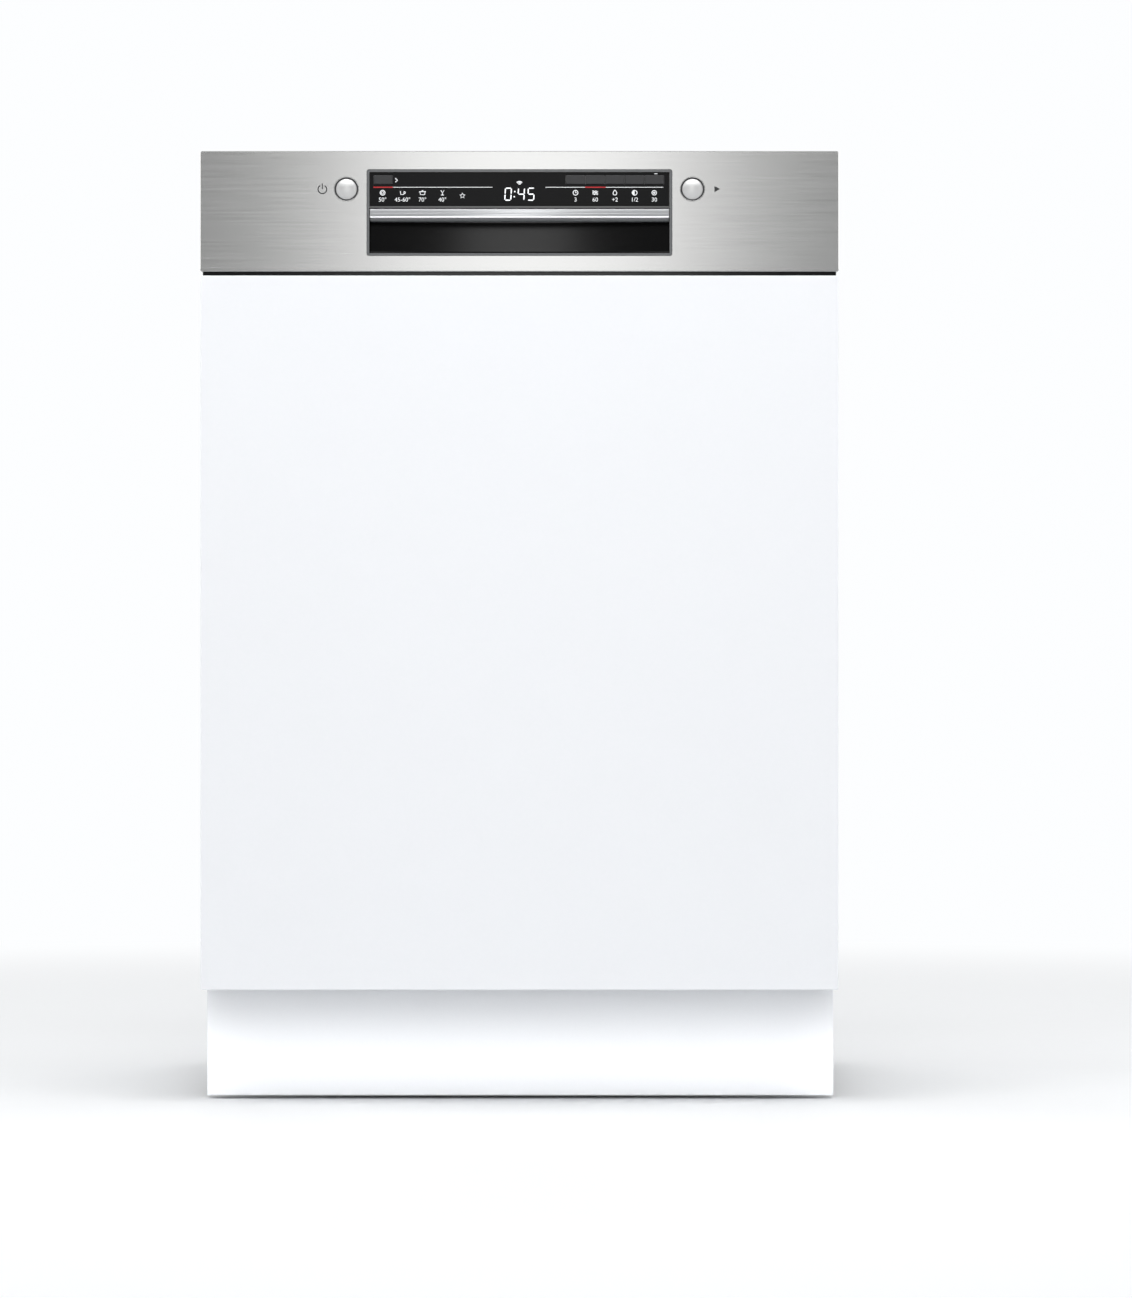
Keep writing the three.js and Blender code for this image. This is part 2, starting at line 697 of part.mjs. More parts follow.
// Sheet with pressed beads along its depth, a toe recess, a folded front edge and an ear for the hinge pin.
function makeSidePanel() {

	const top = HEIGHT - SIDE_TOP_DROP;
	const back = DEPTH - SIDE_BACK;
	const bottom = baseBottom + SIDE_BOTTOM_RISE;
	const outside = [];
	const inside = [];
	for ( const z of spread( bottom + 270, top - 98, 3 ) ) {

		for ( const [ rise, out ] of [ [ - BEAD_HALF, 0 ], [ - 6, BEAD ], [ 6, BEAD ], [ BEAD_HALF, 0 ] ] ) {

			outside.push( [ caseHalf + out, z + rise ] );
			inside.push( [ caseHalf - SHEET + out, z + rise ] );

		}

	}

	const section = polygon( [
		[ caseHalf, bottom ],
		...outside,
		[ caseHalf, top ],
		[ caseHalf - SHEET, top ],
		...inside.reverse(),
		[ caseHalf - SHEET, bottom ],
	] );
	const outline = new THREE.Shape();
	const toe = plinthTop + TOE_RISE;
	outline.moveTo( back, bottom );
	outline.lineTo( back, top );
	outline.lineTo( sideFront, top );
	outline.lineTo( sideFront, pivotZ + 70 );
	outline.lineTo( PIVOT_Y, pivotZ + 18 );
	outline.absarc( PIVOT_Y, pivotZ, 15, 2.2, 4.1 );
	outline.lineTo( PIVOT_Y + 20, pivotZ - 15 );
	outline.lineTo( sideFront + 2, toe );
	outline.lineTo( plinthBack + 2, toe );
	outline.lineTo( plinthBack + 2, bottom );
	let panel = extrude( section, 'y', PIVOT_Y - 20, back );
	panel = panel.intersect( extrude( outline, 'x', caseHalf - 5, caseHalf + 5 ) );
	panel = panel.add( block( tubHalf + CHANNEL_WIDTH + SHEET + 1, caseHalf - SHEET / 2, sideFront, sideFront + SHEET,
		pivotZ + 75, top - 8 ) );
	const hole = PIN_RADIUS + CLEARANCE;
	return panel.subtract( rod( [ caseHalf - 4, PIVOT_Y, pivotZ ], [ caseHalf + 4, PIVOT_Y, pivotZ ], hole ) );

}

const sidePanel = makeSidePanel();
piece( 'side_panel_right', sidePanel, galvanised, cabinet );
piece( 'side_panel_left', sidePanel, galvanised, cabinet ).scale.x = - 1;

// Folded tray with two pressed uprights.
function makeRearPanel() {

	const bottom = pivotZ;
	const top = HEIGHT - 15;
	const front = DEPTH - REAR_FLANGE;
	let panel = block( - baseHalf, baseHalf, front, DEPTH, bottom, top );
	const inner = baseHalf - SHEET;
	panel = panel.subtract( block( - inner, inner, front - 1, DEPTH - SHEET, bottom + SHEET, top - SHEET ) );
	for ( const x of [ - 150, 150 ] ) {

		const swage = roundedRect( x - 20, x + 20, bottom + 60, top - 60, 18 );
		const hollow = roundedRect( x - 19, x + 19, bottom + 61, top - 61, 17 );
		panel = panel.add( extrude( swage, 'y', DEPTH - 5, DEPTH - SHEET / 2, { curve: 1 } ) );
		panel = panel.subtract( extrude( hollow, 'y', DEPTH - 4, DEPTH + 1, { curve: 1 } ) );

	}

	return panel;

}

piece( 'rear_panel', makeRearPanel(), galvanised, cabinet );

// Rail across the top of the tub, with the door's strike and the tabs that screw to the worktop.
function makeTopCrossbar() {

	const front = sideFront + 0.6;
	const back = front + CROSSBAR_DEPTH;
	const under = HEIGHT - CROSSBAR_DROP;
	const gauge = CROSSBAR_GAUGE;
	const post = back - 12;
	const parts = [
		block( - baseHalf, baseHalf, front, back, under, under + gauge ),
		block( - STRIKE_HALF, STRIKE_HALF, post - 3, post, strikeZ, under + gauge / 2 ),
		block( - STRIKE_HALF, STRIKE_HALF, lockFront + STRIKE_PLAY, post, strikeZ, strikeZ + 3 ),
	];
	for ( const side of [ - 1, 1 ] ) {

		const outer = side * ( baseHalf - TAB_INSET );
		const inner = side * ( baseHalf - TAB_INSET - TAB_WIDTH );
		parts.push( block( side * ( baseHalf - gauge ), side * baseHalf, front + 2, back - 2,
			under - 19, under + gauge / 2 ) );
		parts.push( block( inner, outer, post - gauge, post, under + gauge / 2, HEIGHT ) );
		parts.push( block( inner, outer, post - TAB_DEPTH, post, HEIGHT - gauge, HEIGHT ) );

	}

	let bar = joined( parts );
	bar = bar.subtract( block( - 4, 4, lockFront + STRIKE_PLAY + 3, lockFront + STRIKE_PLAY + 9,
		strikeZ - 1, strikeZ + 4 ) );
	for ( const side of [ - 1, 1 ] ) {

		const x = side * ( baseHalf - TAB_INSET - TAB_WIDTH / 2 );
		const y = post - 13;
		bar = bar.subtract( rod( [ x, y, HEIGHT - 2 * gauge ], [ x, y, HEIGHT + 1 ], TAB_HOLE, 12 ) );

	}

	return bar;

}

piece( 'top_crossbar', makeTopCrossbar(), galvanised, cabinet );

// Moulded hood of insulation over the top of the tub.
function makeInsulationHood() {

	const front = channelBack + HOOD_FRONT_GAP;
	const outer = arch( tubOuter + HOOD_THICKNESS - 2, hoodBottom, tubRoof + SHEET + HOOD_THICKNESS + 3, HOOD_CORNER );
	const inner = arch( tubOuter + CLEARANCE, hoodBottom - 1, tubRoof + SHEET + CLEARANCE,
		TUB_CORNER + SHEET + CLEARANCE );
	return extrude( outer, 'y', front, tubBack ).subtract( extrude( inner, 'y', front - 1, tubBack + 1 ) );

}

piece( 'insulation_hood', makeInsulationHood(), foam, cabinet );

// Flat tank between the tub and the left side panel, with the folds of its water channel.
function makeHeatExchanger() {

	const inside = - tubOuter - CLEARANCE;
	const outside = EXCHANGER_GAP + SHEET - caseHalf;
	const back = EXCHANGER_FRONT + EXCHANGER_LENGTH;
	const bottom = tubFloor + EXCHANGER_RISE;
	const top = hoodBottom - EXCHANGER_TOP_GAP;
	const outline = roundedRect( EXCHANGER_FRONT, back, bottom, top, 22 );
	let tank = extrude( outline, 'x', outside, inside, { edge: 2 } );
	for ( const [ i, z ] of spread( bottom + 60, top - 50, 6 ).entries() ) {

		const shift = i % 2 ? 14 : - 14;
		tank = tank.subtract( block( outside - 1, outside + 4, EXCHANGER_FRONT + 40 + shift, back - 40 + shift,
			z, z + 5 ) );

	}

	return tank;

}

piece( 'heat_exchanger', makeHeatExchanger(), palePlastic, cabinet );

// ---------------------------------------------------------------- cabinet: tub

// Steel shell, open below and in front, with the stepped channel and flange round its mouth.
function makeTubShell() {

	const channel = tubHalf + CHANNEL_WIDTH;
	const roofStep = tubRoof + CHANNEL_WIDTH;
	const below = shellBottom - 1;
	const outsideRadius = TUB_CORNER + SHEET;
	let shell = extrude( arch( tubOuter, shellBottom, tubRoof + SHEET, outsideRadius ), 'y',
		channelBack, tubBack + SHEET );
	shell = shell.add( extrude( arch( channel + SHEET, shellBottom, roofStep + SHEET,
		outsideRadius + CHANNEL_WIDTH ), 'y', channelFront, channelBack + SHEET ) );
	shell = shell.add( extrude( arch( caseHalf - SHEET - FLANGE_GAP, shellBottom, HEIGHT - CROSSBAR_DROP - 0.5,
		outsideRadius + CHANNEL_WIDTH ), 'y', channelFront, channelFront + SHEET ) );
	shell = shell.subtract( extrude( arch( tubHalf, below, tubRoof, TUB_CORNER ), 'y',
		channelFront - 1, tubBack ) );
	shell = shell.subtract( extrude( arch( channel, below, roofStep, TUB_CORNER + CHANNEL_WIDTH ), 'y',
		channelFront - 1, channelBack ) );
	const notch = STRIKE_HALF + 6;
	return shell.subtract( block( - notch, notch, channelFront - 1, channelFront + 2,
		roofStep + SHEET + CLEARANCE, HEIGHT ) );

}

piece( 'tub_shell', makeTubShell(), tubSteel, cabinet );

// Moulded floor: wheel ledges, threshold, the funnel down to the sump, the hub of the lower arm.
function makeTubFloor() {

	const skin = 3;
	const funnelTop = [ FUNNEL_WIDTH, FUNNEL_DEPTH ];
	const funnelBottom = [ FUNNEL_BOTTOM, FUNNEL_BOTTOM ];
	const grow = ( [ w, d ] ) => [ w + 2 * skin, d + 2 * skin ];
	let floor = block( - tubOuter, tubOuter, channelFront, tubBack + SHEET, tubUnderside, tubFloor );
	floor = floor.add( taperedBlock( FILTER_X, FILTER_Y, grow( funnelBottom ), grow( funnelTop ),
		funnelZ - skin, tubFloor ) );
	floor = floor.subtract( taperedBlock( FILTER_X, FILTER_Y, funnelBottom, funnelTop,
		funnelZ, tubFloor + 0.01 ) );
	const additions = [
		block( - ledgeOuter, ledgeOuter, channelBack + 2, channelBack + 6, tubFloor - 1,
			tubFloor + THRESHOLD_HEIGHT ),
		rod( [ 0, hubY, funnelZ - 1 ], [ 0, hubY, lowerArmZ - 6 ], HUB_RADIUS, 16 ),
		rod( [ 0, hubY, funnelZ ], [ 0, hubY, lowerArmZ + ARM_THICKNESS + 2 ], ARM_PIN, 12 ),
	];
	for ( const side of [ - 1, 1 ] ) {

		additions.push( block( side * ledgeInner, side * ledgeOuter,
			channelBack + 4, tubBack - 5, tubFloor - 1, ledgeZ ) );

	}

	floor = floor.add( joined( additions ) );
	floor = floor.subtract( rod( [ FILTER_X, FILTER_Y, funnelZ - skin - 1 ],
		[ FILTER_X, FILTER_Y, funnelZ + 1 ], SUMP_RADIUS, 18 ) );
	return floor.subtract( rod( [ SALT_X, SALT_Y, tubUnderside - 1 ], [ SALT_X, SALT_Y, tubFloor + 1 ],
		SALT_NECK + 1, 20 ) );

}

piece( 'tub_floor', makeTubFloor(), darkPlastic, cabinet );

// Seal with a rounded bead, pushed into the channel round the mouth.
function makeDoorGasket() {

	const middle = tubHalf + CHANNEL_WIDTH / 2;
	const topMiddle = tubRoof + CHANNEL_WIDTH / 2;
	const outerHalf = middle + SEAL_WIDTH / 2;
	const innerHalfWidth = middle - SEAL_WIDTH / 2;
	const foot = tubFloor + SEAL_RISE;
	const outer = arch( outerHalf, foot, topMiddle + SEAL_WIDTH / 2, TUB_CORNER + SEAL_WIDTH );
	const inner = arch( innerHalfWidth, foot - 1, topMiddle - SEAL_WIDTH / 2, TUB_CORNER );
	const front = DOOR_BACK + SHEET + CLEARANCE;
	const back = channelBack - CLEARANCE;
	const rope = extrude( outer, 'y', front, back, { edge: 2.5 } );
	const mouth = extrude( inner, 'y', front - 1, back + 1 );
	const flare = extrude( arch( innerHalfWidth + 3, foot - 2, topMiddle - SEAL_WIDTH / 2 + 3, TUB_CORNER + 3 ), 'y',
		front - 4, front + 3, { edge: 3 } );
	return rope.subtract( mouth ).subtract( flare );

}

piece( 'door_gasket', makeDoorGasket(), sealRubber, cabinet );

// ---------------------------------------------------------------- cabinet: wash system

// Cup under the funnel, with flat ports for the two pumps.
const sumpOuter = SUMP_RADIUS + 3;
const sumpRim = funnelZ - 3 - CLEARANCE;

function makeSump() {

	const cup = turned( [
		[ 0, sumpBottom ],
		[ sumpOuter - 2, sumpBottom ],
		[ sumpOuter, sumpBottom + 2 ],
		[ sumpOuter, sumpRim - 6 ],
		[ sumpOuter + 8, sumpRim - 3 ],
		[ sumpOuter + 8, sumpRim ],
		[ 0, sumpRim ],
	], 18 );
	const at = ( x, y, z ) => [ FILTER_X + x, FILTER_Y + y, z ];
	return solidOf( cup.translate( FILTER_X, FILTER_Y, 0 ) )
		.add( rod( at( 0, 0, pumpZ ), at( - sumpOuter, 0, pumpZ ), 24, 10 ) )
		.add( rod( at( 0, 0, drainZ ), at( 0, sumpOuter, drainZ ), 16, 8 ) )
		.subtract( rod( at( 0, 0, sumpBottom + 3 ), at( 0, 0, sumpRim + 1 ), SUMP_RADIUS, 18 ) )
		.subtract( rod( at( 0, 0, pumpZ ), at( - sumpOuter - 1, 0, pumpZ ), 16, 8 ) )
		.subtract( rod( at( 0, 0, drainZ ), at( 0, sumpOuter + 1, drainZ ), 9, 6 ) );

}

piece( 'sump', makeSump(), darkPlastic, cabinet );

// Circulation pump: neck, heater bowl, motor and end cap, turned about its axis, which lies along X.
function makeCirculationPump() {

	return turned( [
		[ 0, 0 ],
		[ 20, 0 ],
		[ 20, 9 ],
		[ PUMP_RADIUS - 4, 13 ],
		[ PUMP_RADIUS, 18 ],
		[ PUMP_RADIUS, PUMP_BOWL - 4 ],
		[ PUMP_MOTOR, PUMP_BOWL ],
		[ PUMP_MOTOR, PUMP_LENGTH - 18 ],
		[ PUMP_MOTOR - 6, PUMP_LENGTH - 8 ],
		[ 12, PUMP_LENGTH - 8 ],
		[ 12, PUMP_LENGTH ],
		[ 0, PUMP_LENGTH ],
	], 14 );

}

const circulationPump = piece( 'circulation_pump', makeCirculationPump(), greyPlastic, cabinet );
circulationPump.rotation.y = - QUARTER;
circulationPump.position.set( FILTER_X - sumpOuter - CLEARANCE, FILTER_Y, pumpZ );

function makeDrainPump() {

	return turned( [
		[ 0, 0 ],
		[ 15, 0 ],
		[ 15, 5 ],
		[ DRAIN_RADIUS, 7 ],
		[ DRAIN_RADIUS, 26 ],
		[ DRAIN_MOTOR, 28 ],
		[ DRAIN_MOTOR, DRAIN_LENGTH - 6 ],
		[ DRAIN_MOTOR - 7, DRAIN_LENGTH ],
		[ 0, DRAIN_LENGTH ],
	], 12 );

}

const drainPump = piece( 'drain_pump', makeDrainPump(), greyPlastic, cabinet );
drainPump.rotation.x = - QUARTER;
drainPump.position.set( FILTER_X, FILTER_Y + sumpOuter + CLEARANCE, drainZ );

// Softener: ribbed resin box whose filler neck comes up through the tub floor.
const neckTop = tubFloor + 2.3;
const neckBore = SALT_NECK - 6;

function makeWaterSoftener() {

	const collar = 45;
	const box = roundedRect( SALT_X - 58, SALT_X + 66, SALT_Y - 63, SALT_Y + 63, 14 );
	const bottom = baseBottom + 22;
	const top = tubUnderside - 14;
	let softener = extrude( box, 'z', bottom, top, { edge: 3, curve: 1 } );
	for ( const y of [ - 45, - 15, 15, 45 ] ) {

		softener = softener.add( block( SALT_X - 61, SALT_X - 57, SALT_Y + y - 2, SALT_Y + y + 2,
			bottom + 6, top - 6 ) );

	}

	const collarTop = tubUnderside - CLEARANCE;
	return softener
		.add( rod( [ SALT_X, SALT_Y, top - 1 ], [ SALT_X, SALT_Y, collarTop ], collar, 16 ) )
		.add( rod( [ SALT_X, SALT_Y, top - 1 ], [ SALT_X, SALT_Y, neckTop ], SALT_NECK, 16 ) )
		.subtract( rod( [ SALT_X, SALT_Y, bottom + 10 ], [ SALT_X, SALT_Y, neckTop + 1 ], neckBore, 16 ) );

}

piece( 'water_softener', makeWaterSoftener(), palePlastic, cabinet );

// Screw cap with a hollow plug and a finger bar.
function makeSaltCap() {

	const cap = solidOf( turned( [
		[ 0, 0 ],
		[ neckBore - 1, 0 ],
		[ neckBore - 1, 10 + CLEARANCE ],
		[ SALT_NECK - 2, 10 + CLEARANCE ],
		[ SALT_NECK - 2, 14 ],
		[ SALT_NECK - 5, 16 ],
		[ 0, 16 ],
	], 16 ) );
	const hollow = rod( [ 0, 0, 4 ], [ 0, 0, 17 ], neckBore - 5, 12 );
	const bar = block( - 3, 3, 4 - neckBore, neckBore - 4, 3, 18 );
	return cap.subtract( hollow ).add( bar );

}

piece( 'salt_cap', makeSaltCap(), palePlastic, cabinet ).position.set( SALT_X, SALT_Y, neckTop - 10 );

// Fine plate over the funnel floor, with the filter's hole and a bite for the arm's hub.
const plateTop = funnelZ + CLEARANCE + 1.5;

function makeFilterPlate() {

	const size = FUNNEL_BOTTOM / 2 - 5;
	const plate = roundedRect( FILTER_X - size, FILTER_X + size, FILTER_Y - size, FILTER_Y + size, 10 );
	return extrude( plate, 'z', funnelZ + CLEARANCE, plateTop )
		.subtract( rod( [ FILTER_X, FILTER_Y, funnelZ ], [ FILTER_X, FILTER_Y, plateTop + 1 ],
			FILTER_RADIUS + 2, 24 ) )
		.subtract( rod( [ 0, hubY, funnelZ ], [ 0, hubY, plateTop + 1 ], HUB_RADIUS + 2, 24 ) );

}

piece( 'filter_plate', makeFilterPlate(), tubSteel, cabinet );

// Cup filter with a rim that rests on the plate, sieve windows below it, and a handle to twist it by.
function makeFilterCylinder() {

	const length = plateTop + CLEARANCE - filterBottom;
	const wall = 2;
	let cup = solidOf( turned( [
		[ 0, 0 ],
		[ FILTER_RADIUS, 0 ],
		[ FILTER_RADIUS, length ],
		[ FILTER_RADIUS + 8, length ],
		[ FILTER_RADIUS + 8, length + 2 ],
		[ FILTER_RADIUS - wall, length + 2 ],
		[ FILTER_RADIUS - wall, wall ],
		[ 0, wall ],
	], 16 ) );
	for ( let i = 0; i < 4; i ++ ) {

		const angle = ( i + 0.5 ) * QUARTER;
		const [ c, s ] = [ Math.cos( angle ), Math.sin( angle ) ];
		const r = FILTER_RADIUS + 3;
		cup = cup.subtract( rod( [ 20 * c, 20 * s, 38 ], [ r * c, r * s, 38 ], 16, 4 ) );

	}

	const handle = roundedRect( - FILTER_RADIUS - 4, FILTER_RADIUS + 4, length + 1, length + 18, 7 );
	const grip = roundedRect( - 20, 20, length - 5, length + 11, 4 );
	return cup.add( extrude( handle, 'y', - 2.5, 2.5, { curve: 1 } ) )
		.subtract( extrude( grip, 'y', - 4, 4, { curve: 1 } ) );

}

piece( 'filter_cylinder', makeFilterCylinder(), greyPlastic, cabinet )
	.position.set( FILTER_X, FILTER_Y, filterBottom );

// Flat pipe up the back wall and along the roof to the ceiling sprinkler, with the middle nozzle.
function makeRiserPipe() {

	const back = tubBack - CLEARANCE;
	const roofRun = tubRoof - 18;
	const column = roundedRect( - RISER_HALF, RISER_HALF, riserFront, back, 4 );
	const ceiling = roundedRect( - RISER_HALF, RISER_HALF, roofRun, roofRun + RISER_DEPTH, 4 );
	const parts = [
		extrude( column, 'z', tubFloor + CLEARANCE, roofRun + RISER_DEPTH, { curve: 1 } ),
		extrude( ceiling, 'y', hubY - 15, back - 2, { curve: 1 } ),
		solidOf( turned( [
			[ 0, 0 ],
			[ 14, 0 ],
			[ 35, 5 ],
			[ 35, 9 ],
			[ 16, 15 ],
			[ 0, 15 ],
		], 12 ).translate( 0, hubY, roofRun - 6 ) ),
		rod( [ 0, rackBack + 2 * CLEARANCE, ductZ ], [ 0, riserFront + 4, ductZ ], 12, 10 ),
	];
	for ( const y of [ hubY + 35, hubY + 165 ] ) {

		parts.push( block( - 8, 8, y - 6, y + 6, roofRun + RISER_DEPTH - 1, tubRoof - CLEARANCE ) );

	}

	return joined( parts ).subtract( rod( [ 0, rackBack, ductZ ], [ 0, riserFront + 6, ductZ ], 8, 8 ) );

}

piece( 'riser_pipe', makeRiserPipe(), palePlastic, cabinet );

// Curved two-bladed arm round a hub, with a raised nozzle ridge along each blade.
function makeSprayArm( reach, bore ) {

	const sweep = 26;
	const root = 27;
	const tip = 17;
	const blade = new THREE.Shape();
	blade.moveTo( 0, - root );
	blade.quadraticCurveTo( reach * 0.55, sweep - root, reach - tip, sweep - tip );
	blade.absarc( reach - tip, sweep, tip, - QUARTER, QUARTER );
	blade.quadraticCurveTo( reach * 0.45, root + sweep * 0.7, 0, root );
	const ridgeZ = ARM_THICKNESS - 3.5;
	const right = extrude( blade, 'z', 0, ARM_THICKNESS - 2.5, { edge: 2 } );
	const ridge = rod( [ 12, 4, ridgeZ ], [ reach - 24, sweep, ridgeZ ], 4, 6 );
	const oneBlade = geometryOf( right.add( ridge ) );
	const otherBlade = oneBlade.clone().rotateZ( Math.PI );
	const hub = rod( [ 0, 0, 0 ], [ 0, 0, ARM_THICKNESS ], root + 3, 16 );
	const arm = joined( [ hub, solidOf( oneBlade ), solidOf( otherBlade ) ] );
	return arm.subtract( rod( [ 0, 0, - 1 ], [ 0, 0, ARM_THICKNESS + 4 ], bore, 12 ) );

}

piece( 'lower_spray_arm', makeSprayArm( lowerArmReach, ARM_PIN + CLEARANCE ), greyPlastic, cabinet )
	.position.set( 0, hubY, lowerArmZ );

// Rail of C section for the upper rack's runner, on the right wall.
function makeRail() {

	const outer = tubHalf - CLEARANCE;
	const inner = railInner;
	const section = polygon( [
		[ inner, railZ ],
		[ outer, railZ ],
		[ outer, railZ + RAIL_HEIGHT ],
		[ inner, railZ + RAIL_HEIGHT ],
		[ inner, railZ + RAIL_HEIGHT - 6 ],
		[ inner + RAIL_WALL, railZ + RAIL_HEIGHT - 6 ],
		[ inner + RAIL_WALL, railZ + RAIL_HEIGHT - RAIL_WALL ],
		[ outer - RAIL_WALL, railZ + RAIL_HEIGHT - RAIL_WALL ],
		[ outer - RAIL_WALL, railZ + RAIL_WALL ],
		[ inner + RAIL_WALL, railZ + RAIL_WALL ],
		[ inner + RAIL_WALL, railZ + 6 ],
		[ inner, railZ + 6 ],
	] );
	return extrude( section, 'y', railFront, railBack );

}

const rail = makeRail();
piece( 'upper_rail_right', rail, tubSteel, cabinet );
piece( 'upper_rail_left', rail, tubSteel, cabinet ).scale.x = - 1;

// ---------------------------------------------------------------- cabinet: door springs

// Wire of a spring: it leaves the first end on its axis, coils, and comes back to the axis at the other end.
class CoilCurve extends THREE.Curve {

	constructor( start, end ) {

		super();
		this.start = start;
		this.run = end.clone().sub( start );
		const along = this.run.clone().normalize();
		this.across = new THREE.Vector3().crossVectors( along, AXIS_X ).normalize();

	}

	getPoint( t ) {

		const radius = SPRING_RADIUS * Math.min( 1, 8 * t, 8 * ( 1 - t ) );
		const angle = 2 * Math.PI * SPRING_TURNS * t;
		return this.start.clone()
			.addScaledVector( this.run, t )
			.addScaledVector( AXIS_X, radius * Math.cos( angle ) )
			.addScaledVector( this.across, radius * Math.sin( angle ) );

	}

}

function makeSpring() {

	const eye = STUD_RADIUS + 0.6 + SPRING_WIRE;
	const front = new THREE.Vector3( springX, PIVOT_Y + LEVER_Y, pivotZ + LEVER_Z );
	const rear = new THREE.Vector3( springX, SPRING_REAR_Y, springRearZ );
	const along = rear.clone().sub( front ).normalize();
	const wire = new THREE.Shape().absarc( 0, 0, SPRING_WIRE, 0, 2 * Math.PI );
	const coil = new THREE.ExtrudeGeometry( wire, {
		steps: SPRING_TURNS * 4,
		curveSegments: 2,
		bevelEnabled: false,
		extrudePath: new CoilCurve(
			front.clone().addScaledVector( along, eye ),
			rear.clone().addScaledVector( along, - eye ),
		),
	} );
	const parts = [ solidOf( coil ) ];
	for ( const place of [ front, rear ] ) {

		const ring = new THREE.TorusGeometry( eye, SPRING_WIRE, 4, 6 ).rotateY( QUARTER );
		parts.push( solidOf( ring.translate( place.x, place.y, place.z ) ) );

	}

	return joined( parts );

}

const spring = makeSpring();
piece( 'door_spring_right', spring, springSteel, cabinet );
piece( 'door_spring_left', spring, springSteel, cabinet ).scale.x = - 1;

// ---------------------------------------------------------------- door: fascia, grip and controls

// Folded steel face with the window and the two button holes.
function makeFascia() {

	const front = roundedRect( - half, half, fasciaBottom, fasciaTop, FASCIA_CORNER );
	const t = FASCIA_SHEET;
	const inside = roundedRect( t - half, half - t, fasciaBottom + t, fasciaTop - t, FASCIA_CORNER - t );
	const window = roundedRect( - windowHalf - CLEARANCE, windowHalf + CLEARANCE,
		windowBottom - CLEARANCE, windowTop + CLEARANCE, WINDOW_CORNER );
	let fascia = extrude( front, 'y', 0, FASCIA_RETURN, { edge: 0.6, curve: 1 } );
	fascia = fascia.subtract( extrude( inside, 'y', t, FASCIA_RETURN + 1, { curve: 1 } ) );
	fascia = fascia.subtract( extrude( window, 'y', - 1, t + 1, { curve: 1 } ) );
	for ( const side of [ - 1, 1 ] ) {

		fascia = fascia.subtract( rod( [ side * buttonX, - 1, buttonZ ], [ side * buttonX, t + 1, buttonZ ],
			buttonHole, 24 ) );

	}

	return fascia;

}

piece( 'fascia', makeFascia(), brushedSteel, door );

// Plastic insert of the window: a rim, a tray for the display and the hollow that the fingers reach into.
function makeGripSurround() {

	const body = extrude( roundedRect( - windowHalf, windowHalf, windowBottom, windowTop, WINDOW_CORNER ),
		'y', BAR_RECESS - CLEARANCE, GRIP_DEPTH );
	const tray = block( - innerHalf, innerHalf, - 1, DISPLAY_TRAY, displayBottom, innerTop );
	const backY = GRIP_DEPTH - GRIP_WALL;
	const hollow = new THREE.Shape();
	hollow.moveTo( - 1, innerBottom );
	hollow.lineTo( backY - GRIP_CURVE, innerBottom );
	hollow.absarc( backY - GRIP_CURVE, innerBottom + GRIP_CURVE, GRIP_CURVE, - QUARTER, 0 );
	hollow.absarc( backY - GRIP_CURVE, gripTop - GRIP_CURVE, GRIP_CURVE, 0, QUARTER );
	hollow.lineTo( - 1, gripTop );
	const relief = block( GRIP_WALL - innerHalf, innerHalf - GRIP_WALL, DISPLAY_TRAY + GRIP_WALL,
		GRIP_DEPTH + 1, displayBottom + GRIP_WALL, innerTop - GRIP_WALL / 2 );
	return body.subtract( tray )
		.subtract( extrude( hollow, 'x', - innerHalf, innerHalf, { curve: 3 } ) )
		.subtract( relief );

}

piece( 'grip_surround', makeGripSurround(), rimPlastic, door );

// Glass with an opening for the single key and one for the row of keys.
function makeDisplayGlass() {

	const glass = block( CLEARANCE - innerHalf, innerHalf - CLEARANCE, DISPLAY_RECESS,
		DISPLAY_TRAY - CLEARANCE, displayBottom + CLEARANCE, innerTop - CLEARANCE );
	const reach = KEY_WIDTH / 2 + CLEARANCE;
	const rise = KEY_HEIGHT / 2 + CLEARANCE;
	return glass
		.subtract( block( programKeyX - reach, programKeyX + reach, 0, 10, keyZ - rise, keyZ + rise ) )
		.subtract( block( optionKeyX - reach, optionRowEnd + reach, 0, 10, keyZ - rise, keyZ + rise ) );

}

piece( 'display_glass', makeDisplayGlass(), glossBlack, door );

// Bar across the top of the hollow: rounded face, a fine groove, and a lip along its lower edge.
function makeHandleBar() {

	const top = gripTop - CLEARANCE;
	const bottom = top - BAR_HEIGHT;
	const back = BAR_RECESS + BAR_DEPTH;
	const lip = bottom + 3.6;
	const section = new THREE.Shape();
	section.moveTo( back, bottom );
	section.lineTo( back, top );
	section.lineTo( BAR_RECESS + 0.9, top );
	section.quadraticCurveTo( BAR_RECESS, top - 0.4, BAR_RECESS, top - 1.6 );
	section.quadraticCurveTo( BAR_RECESS + 0.1, lip + 3.6, BAR_RECESS + 2.6, lip + 0.9 );
	section.lineTo( BAR_RECESS + 2.6, lip );
	section.lineTo( BAR_RECESS + 1, lip );
	section.lineTo( BAR_RECESS + 1, lip - 1 );
	section.quadraticCurveTo( BAR_RECESS + 1.4, bottom + 0.4, BAR_RECESS + 4, bottom );
	return extrude( section, 'x', CLEARANCE - innerHalf, innerHalf - CLEARANCE, { curve: 6 } );

}

piece( 'handle_bar', makeHandleBar(), chromedBar, door );

